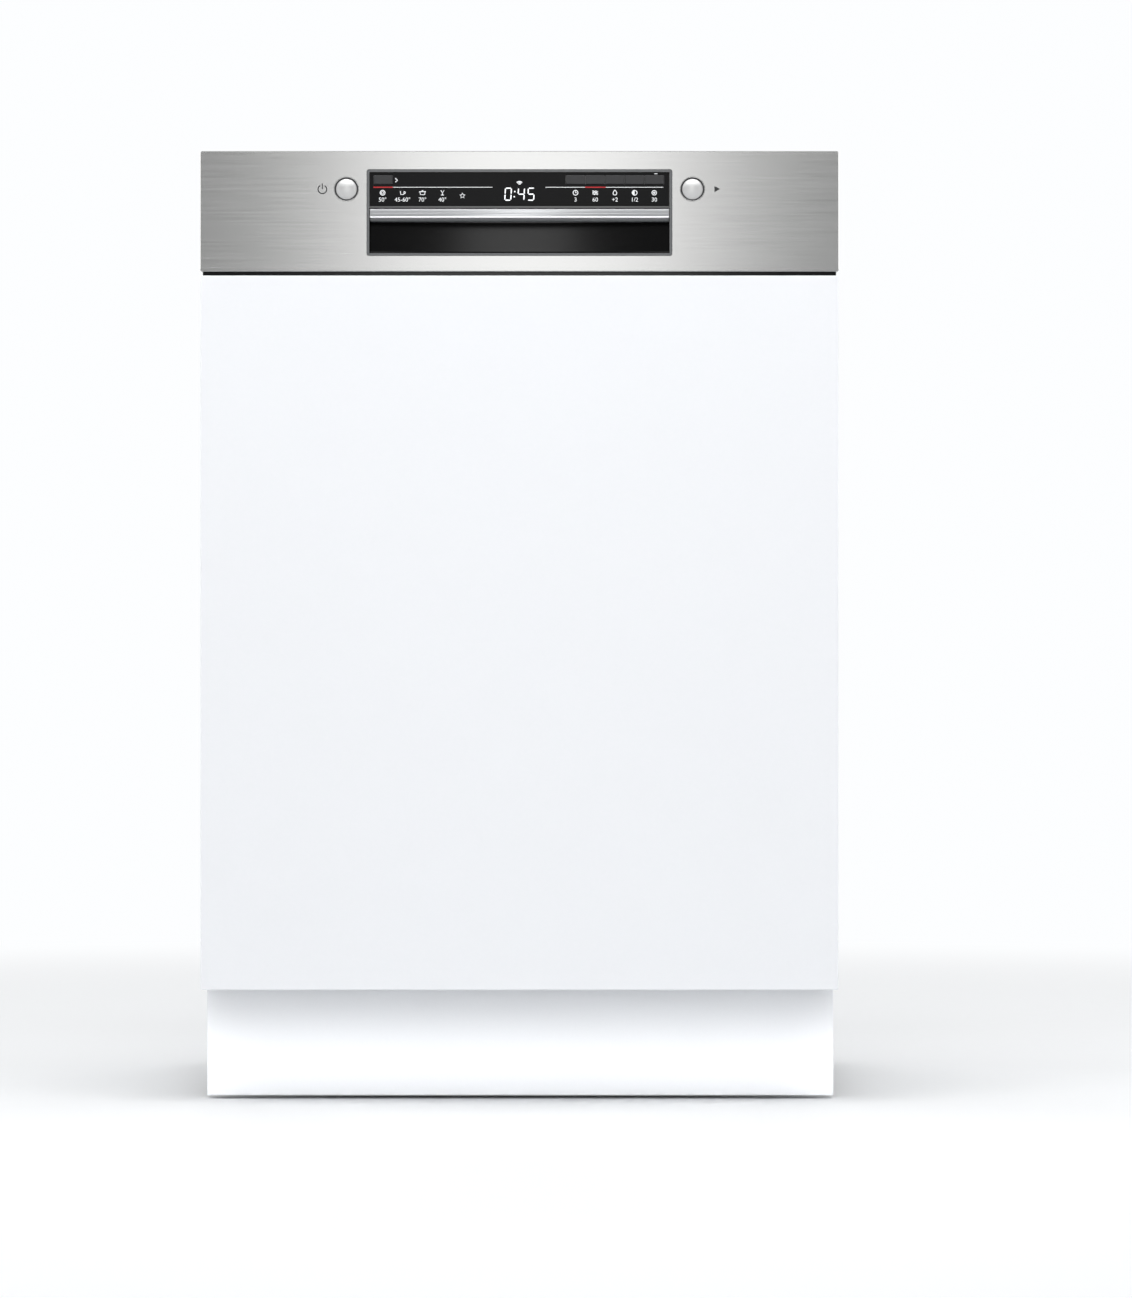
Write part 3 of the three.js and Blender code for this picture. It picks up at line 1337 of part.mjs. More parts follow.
// Domed cap on a stem. Turned about Z, with the dome at the top; the mesh is then laid along Y.
function makeButton() {

	const radius = BUTTON_DIAMETER / 2;
	const crown = BUTTON_PROUD;
	const stem = BUTTON_STEM_END + crown;
	return turned( [
		[ 0, - stem ],
		[ BUTTON_STEM, - stem ],
		[ BUTTON_STEM, - BUTTON_SKIRT ],
		[ radius, - BUTTON_SKIRT ],
		[ radius, - 2.9 ],
		[ radius - 1.2, - 1.5 ],
		[ radius - 4.2, - 0.4 ],
		[ 0, 0 ],
	], 16 );

}

for ( const [ name, side ] of [ [ 'power_button', - 1 ], [ 'start_button', 1 ] ] ) {

	const button = piece( name, makeButton(), pearlCap, door );
	button.rotation.x = QUARTER;
	button.position.set( side * buttonX, - BUTTON_PROUD, buttonZ );

}

function makeKey() {

	const face = roundedRect( - KEY_WIDTH / 2, KEY_WIDTH / 2, - KEY_HEIGHT / 2, KEY_HEIGHT / 2, 0.8 );
	return extrude( face, 'y', 0, KEY_DEPTH, { curve: 1 } );

}

piece( 'program_key', makeKey(), keyPlastic, door ).position.set( programKeyX, KEY_FRONT, keyZ );
for ( let i = 0; i < OPTION_KEYS; i ++ ) {

	const key = piece( 'option_key_' + ( i + 1 ), makeKey(), keyPlastic, door );
	key.position.set( optionKeyX + i * keyPitch, KEY_FRONT, keyZ );

}

// Box behind the fascia: open in front, a bulkhead behind the grip, a sleeve for each button.
function makeControlHousing() {

	const back = DOOR_BACK - CLEARANCE;
	const wall = HOUSING_WALL;
	const front = FASCIA_SHEET + CLEARANCE;
	const box = extrude( roundedRect( - housingHalf, housingHalf, housingBottom, housingTop, FASCIA_CORNER ),
		'y', front, back, { curve: 1 } );
	const innerSide = housingHalf - wall;
	let housing = box.subtract( block( - innerSide, innerSide, front - 1, bulkhead,
		housingBottom + wall, housingTop - wall ) );
	housing = housing.subtract( block( - innerSide, innerSide, bulkhead + BULKHEAD_WALL, back + 1,
		housingBottom + wall, housingTop - wall ) );
	for ( const side of [ - 1, 1 ] ) {

		const x = side * buttonX;
		housing = housing.add( rod( [ x, BUTTON_SLEEVE, buttonZ ], [ x, bulkhead + 1, buttonZ ], BUTTON_STEM + 3 ) );
		housing = housing.subtract( rod( [ x, BUTTON_SLEEVE - 1, buttonZ ], [ x, BUTTON_STEM_END + 4, buttonZ ],
			BUTTON_STEM + 0.4 ) );

	}

	return housing;

}

piece( 'control_housing', makeControlHousing(), darkPlastic, door );

// Lock with the slot that the strike enters from behind.
function makeDoorLock() {

	const back = DOOR_BACK - CLEARANCE;
	const top = housingTop - HOUSING_WALL - CLEARANCE;
	const lock = block( - LOCK_HALF, LOCK_HALF, lockFront, back, top - LOCK_HEIGHT, top );
	const slot = STRIKE_HALF + 4;
	return lock.subtract( block( - slot, slot, lockFront + 1.5, back + 1, strikeZ - 1, top + 1 ) );

}

piece( 'door_lock', makeDoorLock(), greyPlastic, door );

// ---------------------------------------------------------------- door: case, liner and dispenser

// Steel tray behind the furniture panel, folded back at the sides and below.
function makeOuterDoorPlate() {

	const back = DOOR_BACK - CLEARANCE;
	const top = housingBottom - CLEARANCE;
	const plate = block( - doorHalf, doorHalf, plateFront, back, doorBottom, top );
	const inner = doorHalf - SHEET;
	return plate.subtract( block( - inner, inner, plateFront + SHEET, back + 1, doorBottom + SHEET, top + 1 ) );

}

piece( 'outer_door_plate', makeOuterDoorPlate(), galvanised, door );

const panelShape = roundedRect( - panelHalf, panelHalf, panelBottom, panelTop, PANEL_EDGE );
piece( 'furniture_panel', extrude( panelShape, 'y', 0, PANEL_THICKNESS, { edge: PANEL_EDGE, curve: 1 } ),
	whiteLacquer, door );

// Pressed steel liner: flange, raised middle, two runways for the rack's wheels, dispenser opening.
function makeDoorLiner() {

	const runwayBottom = bulgeBottom + BULGE_CORNER / 4;
	const press = ( inset, front, to ) => {

		const bulge = roundedRect( inset - bulgeHalf, bulgeHalf - inset, bulgeBottom + inset,
			bulgeTop - inset, BULGE_CORNER - inset );
		const solids = [ extrude( bulge, 'y', front, to( bulgeBack ), { edge: 2 } ) ];
		for ( const side of [ - 1, 1 ] ) {

			solids.push( block( side * ( ledgeInner + inset ), side * ( bulgeHalf - inset ),
				front, to( runwayBack ), runwayBottom + inset, runwayBottom + RUNWAY_LENGTH - inset ) );

		}

		return joined( solids );

	};

	let liner = block( - doorHalf, doorHalf, DOOR_BACK, DOOR_BACK + SHEET, doorBottom, doorTop );
	liner = liner.add( press( 0, DOOR_BACK - 5, ( y ) => y ) );
	liner = liner.subtract( press( SHEET, DOOR_BACK - 6, ( y ) => y - SHEET ) );
	liner = liner.subtract( block( - doorHalf, doorHalf, DOOR_BACK - 7, DOOR_BACK, doorBottom, doorTop ) );
	const opening = DISPENSER_HALF - DISPENSER_LAP + CLEARANCE;
	liner = liner.subtract( block( DISPENSER_X - opening, DISPENSER_X + opening, DOOR_BACK - 1, bulgeBack + 1,
		dispenserZ + DISPENSER_LAP - CLEARANCE, dispenserZ + DISPENSER_HEIGHT - DISPENSER_LAP + CLEARANCE ) );
	const notch = STRIKE_HALF + 6;
	return liner.subtract( block( - notch, notch, DOOR_BACK - 1, DOOR_BACK + 2, strikeZ - 3.5, doorTop + 1 ) );

}

piece( 'door_liner', makeDoorLiner(), tubSteel, door );

// Moulding with the detergent chamber, the rinse-aid port and the slide for the detergent lid.
const frameBack = bulgeBack + CLEARANCE + DISPENSER_FRAME;
const detergentX = DISPENSER_X - 4 - DETERGENT_WIDTH / 2;
const detergentZ = dispenserZ + 8;
const rinseX = DISPENSER_X + DISPENSER_HALF / 2;
const rinseZ = dispenserZ + 21;

function makeDispenserBody() {

	const top = dispenserZ + DISPENSER_HEIGHT;
	const frame = roundedRect( DISPENSER_X - DISPENSER_HALF, DISPENSER_X + DISPENSER_HALF, dispenserZ, top, 10 );
	const collar = DISPENSER_HALF - DISPENSER_LAP;
	let body = extrude( frame, 'y', bulgeBack + CLEARANCE, frameBack, { edge: 1 } );
	body = body.add( block( DISPENSER_X - collar, DISPENSER_X + collar, bulgeBack - DISPENSER_DEPTH,
		bulgeBack + 1, dispenserZ + DISPENSER_LAP, top - DISPENSER_LAP ) );
	const chamberHalf = DETERGENT_WIDTH / 2 - 4;
	const chamber = roundedRect( detergentX - chamberHalf, detergentX + chamberHalf,
		detergentZ + 4, detergentZ + DETERGENT_HEIGHT - 4, 9 );
	body = body.subtract( extrude( chamber, 'y', frameBack - DISPENSER_DEPTH, frameBack + 1 ) );
	const port = [ rinseX, frameBack - 12, rinseZ + RINSE_LID / 2 ];
	body = body.subtract( rod( port, [ port[ 0 ], frameBack + 1, port[ 2 ] ], 15, 14 ) );
	for ( const side of [ - 1, 1 ] ) {

		const x = detergentX + side * ( DETERGENT_WIDTH / 2 + CLEARANCE );
		body = body.add( block( x, x + side * 2.5, frameBack - 1, frameBack + LID_THICKNESS + 1,
			detergentZ, top - 2 ) );

	}

	return body;

}

piece( 'dispenser_body', makeDispenserBody(), palePlastic, door );

const lidFront = frameBack + CLEARANCE;

function makeDetergentLid() {

	const lid = roundedRect( - DETERGENT_WIDTH / 2, DETERGENT_WIDTH / 2, 0, DETERGENT_HEIGHT, 4 );
	let plate = extrude( lid, 'y', 0, LID_THICKNESS, { edge: 0.8, curve: 1 } );
	plate = plate.subtract( extrude( roundedRect( - 16, 16, 10, 30, 8 ), 'y', LID_THICKNESS - 1.6,
		LID_THICKNESS + 1 ) );
	return plate;

}

piece( 'detergent_lid', makeDetergentLid(), greyPlastic, door )
	.position.set( detergentX, lidFront, detergentZ );

function makeRinseAidLid() {

	const lid = roundedRect( - RINSE_LID / 2, RINSE_LID / 2, 0, RINSE_LID, 5 );
	const plate = extrude( lid, 'y', 0, LID_THICKNESS, { edge: 0.8, curve: 1 } );
	const tab = block( - 8, 8, LID_THICKNESS - 1, LID_THICKNESS + 3, RINSE_LID - 7, RINSE_LID - 3 );
	return plate.add( tab );

}

piece( 'rinse_aid_lid', makeRinseAidLid(), greyPlastic, door ).position.set( rinseX, lidFront, rinseZ );

// Arm at the side of the door: it carries the hinge pin, and a lever with a stud for the spring.
function makeHingeArm() {

	const arm = new THREE.Shape();
	arm.moveTo( PIVOT_Y + 15, pivotZ + HINGE_ARM_HEIGHT );
	arm.lineTo( PIVOT_Y - 4, pivotZ + HINGE_ARM_HEIGHT );
	arm.absarc( PIVOT_Y - 4, pivotZ + HINGE_ARM_HEIGHT - 4, 4, QUARTER, 2 * QUARTER );
	arm.absarc( PIVOT_Y, pivotZ, 12, 2.6, 4.4 );
	arm.absarc( PIVOT_Y + LEVER_Y, pivotZ + LEVER_Z, 5, 4.1, 7 );
	arm.lineTo( PIVOT_Y + 15, pivotZ + 22 );
	const at = ( x ) => [ x, PIVOT_Y, pivotZ ];
	const stud = ( x ) => [ x, PIVOT_Y + LEVER_Y, pivotZ + LEVER_Z ];
	return extrude( arm, 'x', hingeInner, hingeOuter )
		.add( rod( at( hingeInner + 1 ), at( caseHalf + 0.5 ), PIN_RADIUS, 12 ) )
		.add( rod( at( hingeOuter - 1 ), at( caseHalf - SHEET - CLEARANCE ), 8, 8 ) )
		.add( rod( stud( hingeOuter - 1 ), stud( springX - 3 ), STUD_RADIUS, 6 ) );

}

const hingeArm = makeHingeArm();
piece( 'hinge_arm_right', hingeArm, galvanised, door );
piece( 'hinge_arm_left', hingeArm, galvanised, door ).scale.x = - 1;

// ---------------------------------------------------------------- racks, each in its own frame

// A straight rack wire of square section, or of six sides where it runs round the outside.
const thin = ( from, to ) => rod( from, to, WIRE, 4 );
const stout = ( from, to ) => rod( from, to, WIRE, 6 );
const thinReach = WIRE * Math.cos( Math.PI / 4 );
const stoutReach = WIRE * Math.cos( Math.PI / 6 );
const WELD = 0.3; // how far welded wires bite into each other

// A wire bent up at both ends, running along 'x' or 'y' at the given place on the other axis.
function bentWire( axis, place, reach, bottom, rim ) {

	const bend = 9;
	const t = thinReach;
	const outline = new THREE.Shape();
	outline.moveTo( reach + t, rim );
	outline.lineTo( reach - t, rim );
	outline.absarc( reach + t - bend, bottom - t + bend, bend - 2 * t, 0, - QUARTER, true );
	outline.absarc( bend - t - reach, bottom - t + bend, bend - 2 * t, - QUARTER, - 2 * QUARTER, true );
	outline.lineTo( t - reach, rim );
	outline.lineTo( - t - reach, rim );
	outline.absarc( bend - t - reach, bottom - t + bend, bend, - 2 * QUARTER, - QUARTER );
	outline.absarc( reach + t - bend, bottom - t + bend, bend, - QUARTER, 0 );
	return extrude( outline, axis === 'x' ? 'y' : 'x', place - t, place + t, { curve: 0.5 } );

}

// A closed wire with round corners at one height, measured to its outside.
function wireLoop( x, y, z ) {

	const width = 2 * thinReach;
	const ring = roundedRect( - x, x, - y, y, 16 );
	ring.holes.push( roundedRect( width - x, x - width, width - y, y - width, 16 - width ) );
	return extrude( ring, 'z', z - thinReach, z + thinReach, { curve: 1 } );

}

// Open basket of wire: bent wires both ways, and loops outside them.
function wireBasket( halfX, halfY, rim, loops, across, along ) {

	const inset = 3 * thinReach - WELD;
	const inX = halfX - inset;
	const inY = halfY - inset;
	const parts = loops.map( ( z ) => wireLoop( halfX, halfY, z ) );
	for ( const x of spread( 30 - inX, inX - 30, across ) ) parts.push( bentWire( 'y', x, inY, LAYER, rim ) );
	for ( const y of spread( 30 - inY, inY - 30, along ) ) parts.push( bentWire( 'x', y, inX, 0, rim ) );

	return joined( parts );

}

const floorTop = LAYER + thinReach; // upper face of a rack's floor wires, above its lower layer
const tineRow = floorTop + stoutReach - WELD;
const tinePivot = floorTop + stoutReach + CLEARANCE;
const rackHalfY = ( rackBack - rackFront ) / 2;
const rowY = ( i ) => FIRST_ROW + i * ROW_PITCH - rackHalfY; // rows of tines, from the front

// The folding rows: the front one crosses the rack, the one behind it stops at the cutlery basket.
const FOLDING_ROWS = {
	lower_tines_front: [ rowY( 0 ), rackHalf - ROW_SIDE_GAP ],
	lower_tines_back: [ rowY( 1 ), basketX0 - ROW_BASKET_GAP ],
};

function makeLowerRack() {

	const rim = LOWER_HEIGHT;
	const parts = [ wireBasket( rackHalf, rackHalfY, rim, [ rim - WIRE, rim / 2 ], 7, 6 ) ];
	for ( const row of [ rowY( 2 ), rowY( 3 ) ] ) {

		parts.push( stout( [ 15 - rackHalf, row, tineRow ], [ basketX0 - ROW_BASKET_GAP, row, tineRow ] ) );
		for ( let x = basketX0 - ROW_BASKET_GAP - 6; x > 20 - rackHalf; x -= TINE_PITCH ) {

			parts.push( thin( [ x, row, tineRow ], [ x, row, TINE ] ) );

		}

	}

	for ( const side of [ - 1, 1 ] ) {

		for ( const y of [ wheelFrontY, wheelRearY ] ) {

			const inner = side * ( rackHalf - 10 );
			const height = wheelZ - lowerFloor;
			parts.push( block( inner, side * ( rackHalf + 2 ), y - rackMidY - 20, y - rackMidY + 20,
				height - 8, 20 ) );
			parts.push( rod( [ inner, y - rackMidY, height ],
				[ side * ( wheelX + WHEEL_WIDTH / 2 + 1.5 ), y - rackMidY, height ], AXLE, 8 ) );

		}

	}

	return joined( parts );

}

piece( 'lower_rack', makeLowerRack(), rackCoat, lowerRack );

// Rows of tines, each on a rod that turns above the floor wires.
for ( const [ name, [ y, right ] ] of Object.entries( FOLDING_ROWS ) ) {

	const left = 22 - rackHalf;
	const parts = [ stout( [ left, 0, 0 ], [ right, 0, 0 ] ) ];
	for ( let x = left + 8; x < right; x += TINE_PITCH ) parts.push( thin( [ x, 0, 0 ], [ x, 0, TINE ] ) );

	piece( name, joined( parts ), rackCoat, lowerRack ).position.set( 0, y, tinePivot );

}

function makeWheel() {

	const width = WHEEL_WIDTH / 2;
	const bore = AXLE + CLEARANCE;
	return turned( [
		[ bore, - width ],
		[ 8, - width ],
		[ 11, 1.5 - width ],
		[ WHEEL_RADIUS - 1.5, - width ],
		[ WHEEL_RADIUS, 1.5 - width ],
		[ WHEEL_RADIUS, width ],
		[ bore, width ],
		[ bore, - width ],
	], 12 );

}

for ( const [ sideName, side ] of [ [ 'left', - 1 ], [ 'right', 1 ] ] ) {

	for ( const [ endName, y ] of [ [ 'front', wheelFrontY ], [ 'rear', wheelRearY ] ] ) {

		const wheel = piece( 'rack_wheel_' + endName + '_' + sideName, makeWheel(), greyPlastic, lowerRack );
		wheel.rotation.y = side * QUARTER;
		wheel.position.set( side * wheelX, y - rackMidY, wheelZ - lowerFloor );

	}

}

// Moulded cutlery basket: eight cells, barred walls and an arched handle.
function makeCutleryBasket() {

	const floorZ = lowerFloor + floorTop + CLEARANCE;
	const top = floorZ + BASKET_HEIGHT;
	const wall = BASKET_WALL;
	let basket = extrude( roundedRect( basketX0, basketX1, basketY0, basketY1, 8 ), 'z', floorZ, top );
	const cellX = ( basketX1 - basketX0 - 3 * wall ) / 2;
	const cellY = ( basketY1 - basketY0 - 5 * wall ) / 4;
	for ( let i = 0; i < 2; i ++ ) {

		for ( let j = 0; j < 4; j ++ ) {

			const x = basketX0 + wall + i * ( cellX + wall );
			const y = basketY0 + wall + j * ( cellY + wall );
			basket = basket.subtract( block( x, x + cellX, y, y + cellY, floorZ + wall, top + 1 ) );
			for ( const [ from, to ] of [ [ 0.15, 0.85 ] ] ) {

				basket = basket.subtract( block( i ? basketX1 - 4 : basketX0 - 1, i ? basketX1 + 1 : basketX0 + 4,
					y + from * cellY, y + to * cellY, floorZ + 16, top - 14 ) );

			}

			if ( j === 0 || j === 3 ) {

				basket = basket.subtract( block( x + 0.25 * cellX, x + 0.75 * cellX,
					j ? basketY1 - 4 : basketY0 - 1, j ? basketY1 + 1 : basketY0 + 4, floorZ + 16, top - 14 ) );

			}

		}

	}

	const middle = ( basketX0 + basketX1 ) / 2;
	const handle = new THREE.Shape();
	handle.absarc( basketY1 - 42, top + 62, 14, 0, QUARTER );
	handle.absarc( basketY0 + 42, top + 62, 14, QUARTER, 2 * QUARTER );
	handle.lineTo( basketY0 + 20, top - 6 );
	handle.lineTo( basketY0 + 30, top - 6 );
	handle.absarc( basketY0 + 45, top + 58, 8, 2 * QUARTER, QUARTER, true );
	handle.absarc( basketY1 - 45, top + 58, 8, QUARTER, 0, true );
	handle.lineTo( basketY1 - 30, top - 6 );
	handle.lineTo( basketY1 - 20, top - 6 );
	return basket.add( extrude( handle, 'x', middle - 4, middle + 4 ) );

}

piece( 'cutlery_basket', makeCutleryBasket(), greyPlastic, machine );

// Upper rack: wire basket, runners in the rails, cup tines, and the duct that feeds its arm.
function makeUpperRack() {

	const rim = UPPER_HEIGHT;
	const parts = [ wireBasket( upperHalf, rackHalfY, rim, [ rim - WIRE, shelfZ - upperFloor ], 7, 6 ) ];
	for ( const row of [ - CUP_ROW, CUP_ROW ] ) {

		parts.push( stout( [ 20 - upperHalf, row, tineRow ], [ upperHalf - 20, row, tineRow ] ) );
		for ( let x = upperHalf - 32; x > 25 - upperHalf; x -= CUP_TINE_PITCH ) {

			parts.push( thin( [ x, row, tineRow ], [ x, row, CUP_TINE ] ) );

		}

	}

	const centre = runnerZ - upperFloor;
	const grip = RAIL_HEIGHT / 2 - RAIL_WALL - CLEARANCE;
	const runner = rackHalfY - 19;
	for ( const side of [ - 1, 1 ] ) {

		const outer = side * ( tubHalf - CLEARANCE - RAIL_WALL - 2 );
		parts.push( block( side * ( railInner + RAIL_WALL + 1 ), outer, - runner, runner, centre - grip, centre + grip ) );
		parts.push( block( side * ( upperHalf - 8 ), side * ( railInner + RAIL_WALL + 2 ), - runner, runner,
			centre - 3, centre + 3 ) );

	}

	const duct = ductZ - upperFloor;
	const hub = hubY - rackMidY;
	parts.push( rod( [ 0, hub, duct ], [ 0, rackHalfY, duct ], 8, 12 ) );
	const hubBottom = upperArmZ + ARM_THICKNESS + CLEARANCE - upperFloor;
	parts.push( rod( [ 0, hub, hubBottom ], [ 0, hub, 2 ], 20, 16 ) );
	parts.push( rod( [ 0, hub, upperArmZ - 2 - upperFloor ], [ 0, hub, hubBottom + 1 ], ARM_PIN, 12 ) );
	return joined( parts );

}

piece( 'upper_rack', makeUpperRack(), rackCoat, upperRack );
piece( 'upper_spray_arm', makeSprayArm( upperArmReach, ARM_PIN + CLEARANCE ), greyPlastic, upperRack )
	.position.set( 0, hubY - rackMidY, upperArmZ - upperFloor );

// Shelf for cups, stored upright along the left side, on a rod beside the rack's middle loop.
function makeCupShelf() {

	const reach = SHELF_LENGTH / 2;
	let shelf = rod( [ 0, - reach, 0 ], [ 0, reach, 0 ], 2.5, 8 );
	const frame = roundedRect( - reach, reach, 0, SHELF_WIDTH, 12 );
	shelf = shelf.add( extrude( frame, 'x', - 1.5, 1.5 ) );
	for ( const y of spread( - reach + 8, reach - 62, 5 ) ) {

		const slot = roundedRect( y, y + 48, 14, SHELF_WIDTH - 14, 8 );
		shelf = shelf.subtract( extrude( slot, 'x', - 4, 4, { curve: 1 } ) );

	}

	return shelf;

}

const shelfX = upperHalf - 4 * thinReach + WELD - CLEARANCE - 2.5;
piece( 'cup_shelf', makeCupShelf(), palePlastic, upperRack )
	.position.set( - shelfX, 0, shelfZ - upperFloor );

export default machine;
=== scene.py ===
# %% [markdown]
# # A built-in dishwasher, dressed in Blender
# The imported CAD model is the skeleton: every steel case, rack and pump is already in its place, in metres,
# with Z up. This lesson gives each of them its finish and adds what the skeleton leaves plain: the soft
# edges of the front, the print on the display, round wires in the racks, coil springs, screws and threads.
# Its box is kept, because the finished model must not outgrow it.

# %% Load the skeleton
import math
import bpy
import numpy as np
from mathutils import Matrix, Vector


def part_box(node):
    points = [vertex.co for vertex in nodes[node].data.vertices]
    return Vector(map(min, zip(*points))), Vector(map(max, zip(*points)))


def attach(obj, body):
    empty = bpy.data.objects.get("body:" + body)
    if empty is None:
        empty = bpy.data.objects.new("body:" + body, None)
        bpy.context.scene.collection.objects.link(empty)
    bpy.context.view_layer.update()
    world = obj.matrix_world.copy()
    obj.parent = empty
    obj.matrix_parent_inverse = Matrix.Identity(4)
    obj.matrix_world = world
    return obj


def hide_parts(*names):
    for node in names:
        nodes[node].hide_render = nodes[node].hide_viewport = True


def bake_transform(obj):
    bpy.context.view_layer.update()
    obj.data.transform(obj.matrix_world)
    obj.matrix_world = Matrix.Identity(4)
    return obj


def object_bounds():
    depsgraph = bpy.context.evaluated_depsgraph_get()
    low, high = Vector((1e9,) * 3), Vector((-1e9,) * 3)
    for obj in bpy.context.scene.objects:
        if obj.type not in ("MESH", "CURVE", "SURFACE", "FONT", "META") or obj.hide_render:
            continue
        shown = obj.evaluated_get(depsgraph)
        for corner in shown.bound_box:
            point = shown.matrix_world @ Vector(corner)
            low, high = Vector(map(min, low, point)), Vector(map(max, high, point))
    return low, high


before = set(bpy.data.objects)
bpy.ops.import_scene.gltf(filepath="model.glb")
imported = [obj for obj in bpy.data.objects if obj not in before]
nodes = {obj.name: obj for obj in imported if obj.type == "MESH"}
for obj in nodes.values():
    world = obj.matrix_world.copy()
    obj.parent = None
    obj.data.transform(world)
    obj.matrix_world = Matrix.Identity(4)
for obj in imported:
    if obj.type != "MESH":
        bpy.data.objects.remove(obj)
cad_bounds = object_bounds()
low, high = (np.array(corner) for corner in cad_bounds)
print("CAD box", np.round(high - low, 4), "m,", len(nodes), "nodes")

# %% [markdown]
# ## Camera and studio
# A long lens far from the front keeps the edges of the door parallel, as in a kitchen brochure. The floor
# is one wide disc, so it looks the same whichever way the camera turns: its points are radius times
# (cos a, sin a), with the radii close together near the machine and far apart at the edge.

# %% Camera
DISTANCE, VIEW_WIDTH, SENSOR = 5.0, 1.0576, 36
EYE_X, EYE_HEIGHT, BEHIND_FRONT = 0.0435, 0.4278, 0.002
FRONT = low[1]
eye = bpy.data.cameras.new("eye")
eye.sensor_fit = "HORIZONTAL"
eye.sensor_width = SENSOR
eye.lens = SENSOR * DISTANCE / VIEW_WIDTH
camera = bpy.data.objects.new("eye", eye)
camera.location = (EYE_X, FRONT + BEHIND_FRONT - DISTANCE, EYE_HEIGHT)
camera.rotation_euler = (math.radians(90), 0, 0)
bpy.context.scene.collection.objects.link(camera)
bpy.context.scene.camera = camera
print("camera", tuple(round(v, 3) for v in camera.location))


# %% [markdown]
# ## From arrays to meshes
# Nearly every new piece is a skin over rings of points computed with numpy: neighbours along a ring and
# from ring to ring make the four-sided faces. The volume enclosed by the faces tells whether they look
# outwards, and the order of their corners is turned round if they do not.

# %% Rings to mesh
mm = 0.001
FULL_TURN = 2 * math.pi
LOOKS = {}


def mesh_of(name, verts, faces, sharp=35):
    """A mesh object from points and faces; edges that turn by more than `sharp` degrees stay crisp."""
    mesh = bpy.data.meshes.new(name)
    mesh.from_pydata(np.asarray(verts, float).reshape(-1, 3).tolist(), [],
                     [list(map(int, f)) for f in faces])
    mesh.polygons.foreach_set("use_smooth", np.ones(len(mesh.polygons), bool))
    mesh.set_sharp_from_angle(angle=math.radians(sharp))
    piece = bpy.data.objects.new(name, mesh)
    bpy.context.scene.collection.objects.link(piece)
    return piece


def quads(rows, columns, wrap_rows=False, wrap_columns=True):
    """Corner numbers of the faces of a grid: point (i, j) has number i * columns + j."""
    i, j = np.meshgrid(np.arange(rows - (not wrap_rows)), np.arange(columns - (not wrap_columns)),
                       indexing="ij")
    i2, j2 = (i + 1) % rows, (j + 1) % columns
    square = [i * columns + j, i2 * columns + j, i2 * columns + j2, i * columns + j2]
    return np.stack(square, -1).reshape(-1, 4).tolist()


def skin(rings, ring=False):
    """Points and faces over rings of points. Flat faces close both ends, or the last ring meets the first.
    The sum of a . (b x c) over the triangles is six times the enclosed volume; negative means inside out."""
    verts = np.asarray(rings, float)
    m, n = verts.shape[:2]
    faces = quads(m, n, wrap_rows=ring)
    if not ring:
        faces += [list(range(n))[::-1], [(m - 1) * n + k for k in range(n)]]
    verts = verts.reshape(-1, 3)
    a, b, c, d = verts[np.array([f for f in faces if len(f) == 4])].transpose(1, 0, 2)
    total = np.sum(a * np.cross(b, c)) + np.sum(a * np.cross(c, d))
    for f in faces:
        if len(f) > 4:
            total += np.sum(verts[f[0]] * np.cross(verts[f[1:-1]], verts[f[2:]]))
    return verts, faces if total > 0 else [f[::-1] for f in faces]


def stacked(name, rings, sharp=35):
    """A closed skin over rings of points, as an object."""
    return mesh_of(name, *skin(rings), sharp)


def assemble(name, shapes, sharp=40):
    """One object from several shapes: points end to end, faces renumbered."""
    verts, faces, count = [], [], 0
    for points, polygons in shapes:
        verts.append(points)
        faces += [[v + count for v in f] for f in polygons]
        count += len(points)
    return mesh_of(name, np.concatenate(verts), faces, sharp)


def set_out(axis, across, up, along):
    """Points with `along` on the named axis; `across` and `up` fill the other two in the order x, y, z."""
    across, up, along = np.broadcast_arrays(across, up, along)
    order = {"x": (along, across, up), "y": (across, along, up), "z": (across, up, along)}
    return np.stack(order[axis], -1)


def unit(way):
    """Each vector divided by its length."""
    return way / np.linalg.norm(way, axis=-1, keepdims=True)


def corners(node):
    """The two corners of a node's box: the smallest x, y and z, and the largest."""
    return [np.array(corner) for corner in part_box(node)]


def underside(a, b):
    """The middle of the lowest face of the box from a to b."""
    return np.array([(a[0] + b[0]) / 2, (a[1] + b[1]) / 2, a[2]])


def dress(piece, body, slot, *stands_for, look=None):
    """Give a piece its body (None where it will bend between two) and the finish called `look`, by default
    the one called like `slot`; hide the CAD nodes that it stands for."""
    piece.data.materials.clear()
    piece.data.materials.append(LOOKS[look or slot])
    if body:
        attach(piece, body)
    if stands_for:
        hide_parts(*stands_for)
    print(f"{piece.name}: {len(piece.data.polygons)} faces on {body}")
    return piece


def put(name, shapes, node, slot):
    """One piece out of several shapes; it rides on the body called like its CAD node and stands for it."""
    return dress(assemble(name, shapes), node, slot, node)


# %% Floor
SPREAD, SECTORS = 40.0, 48
radii = np.concatenate([[0.001], np.geomspace(0.5, SPREAD, 16)])[:, None]
around = np.linspace(0, FULL_TURN, SECTORS, endpoint=False)
disc = set_out("z", radii * np.cos(around), radii * np.sin(around), 0)
floor = mesh_of("studio_floor", disc, [f[::-1] for f in quads(len(radii), SECTORS)], 60)
print("floor:", len(floor.data.polygons), "faces")


# %% [markdown]
# ## Lights
# Steel only looks like steel if it has something to mirror. A tall soft box stands in front and fills the
# middle of the fascia; to its sides the fascia mirrors the dimmer room, and so it shades off to both ends.
# A wide light overhead makes the upper part of the door a little brighter than the lower part, and a low
# strip with a narrow beam reaches the plinth under the door. The room itself lights the machine dimly, but
# looks white to the camera and in mirrors and glass; only in front stands a dark card, which the mirrors
# see and the camera doesn't, and which gives the steel its shaded ends.

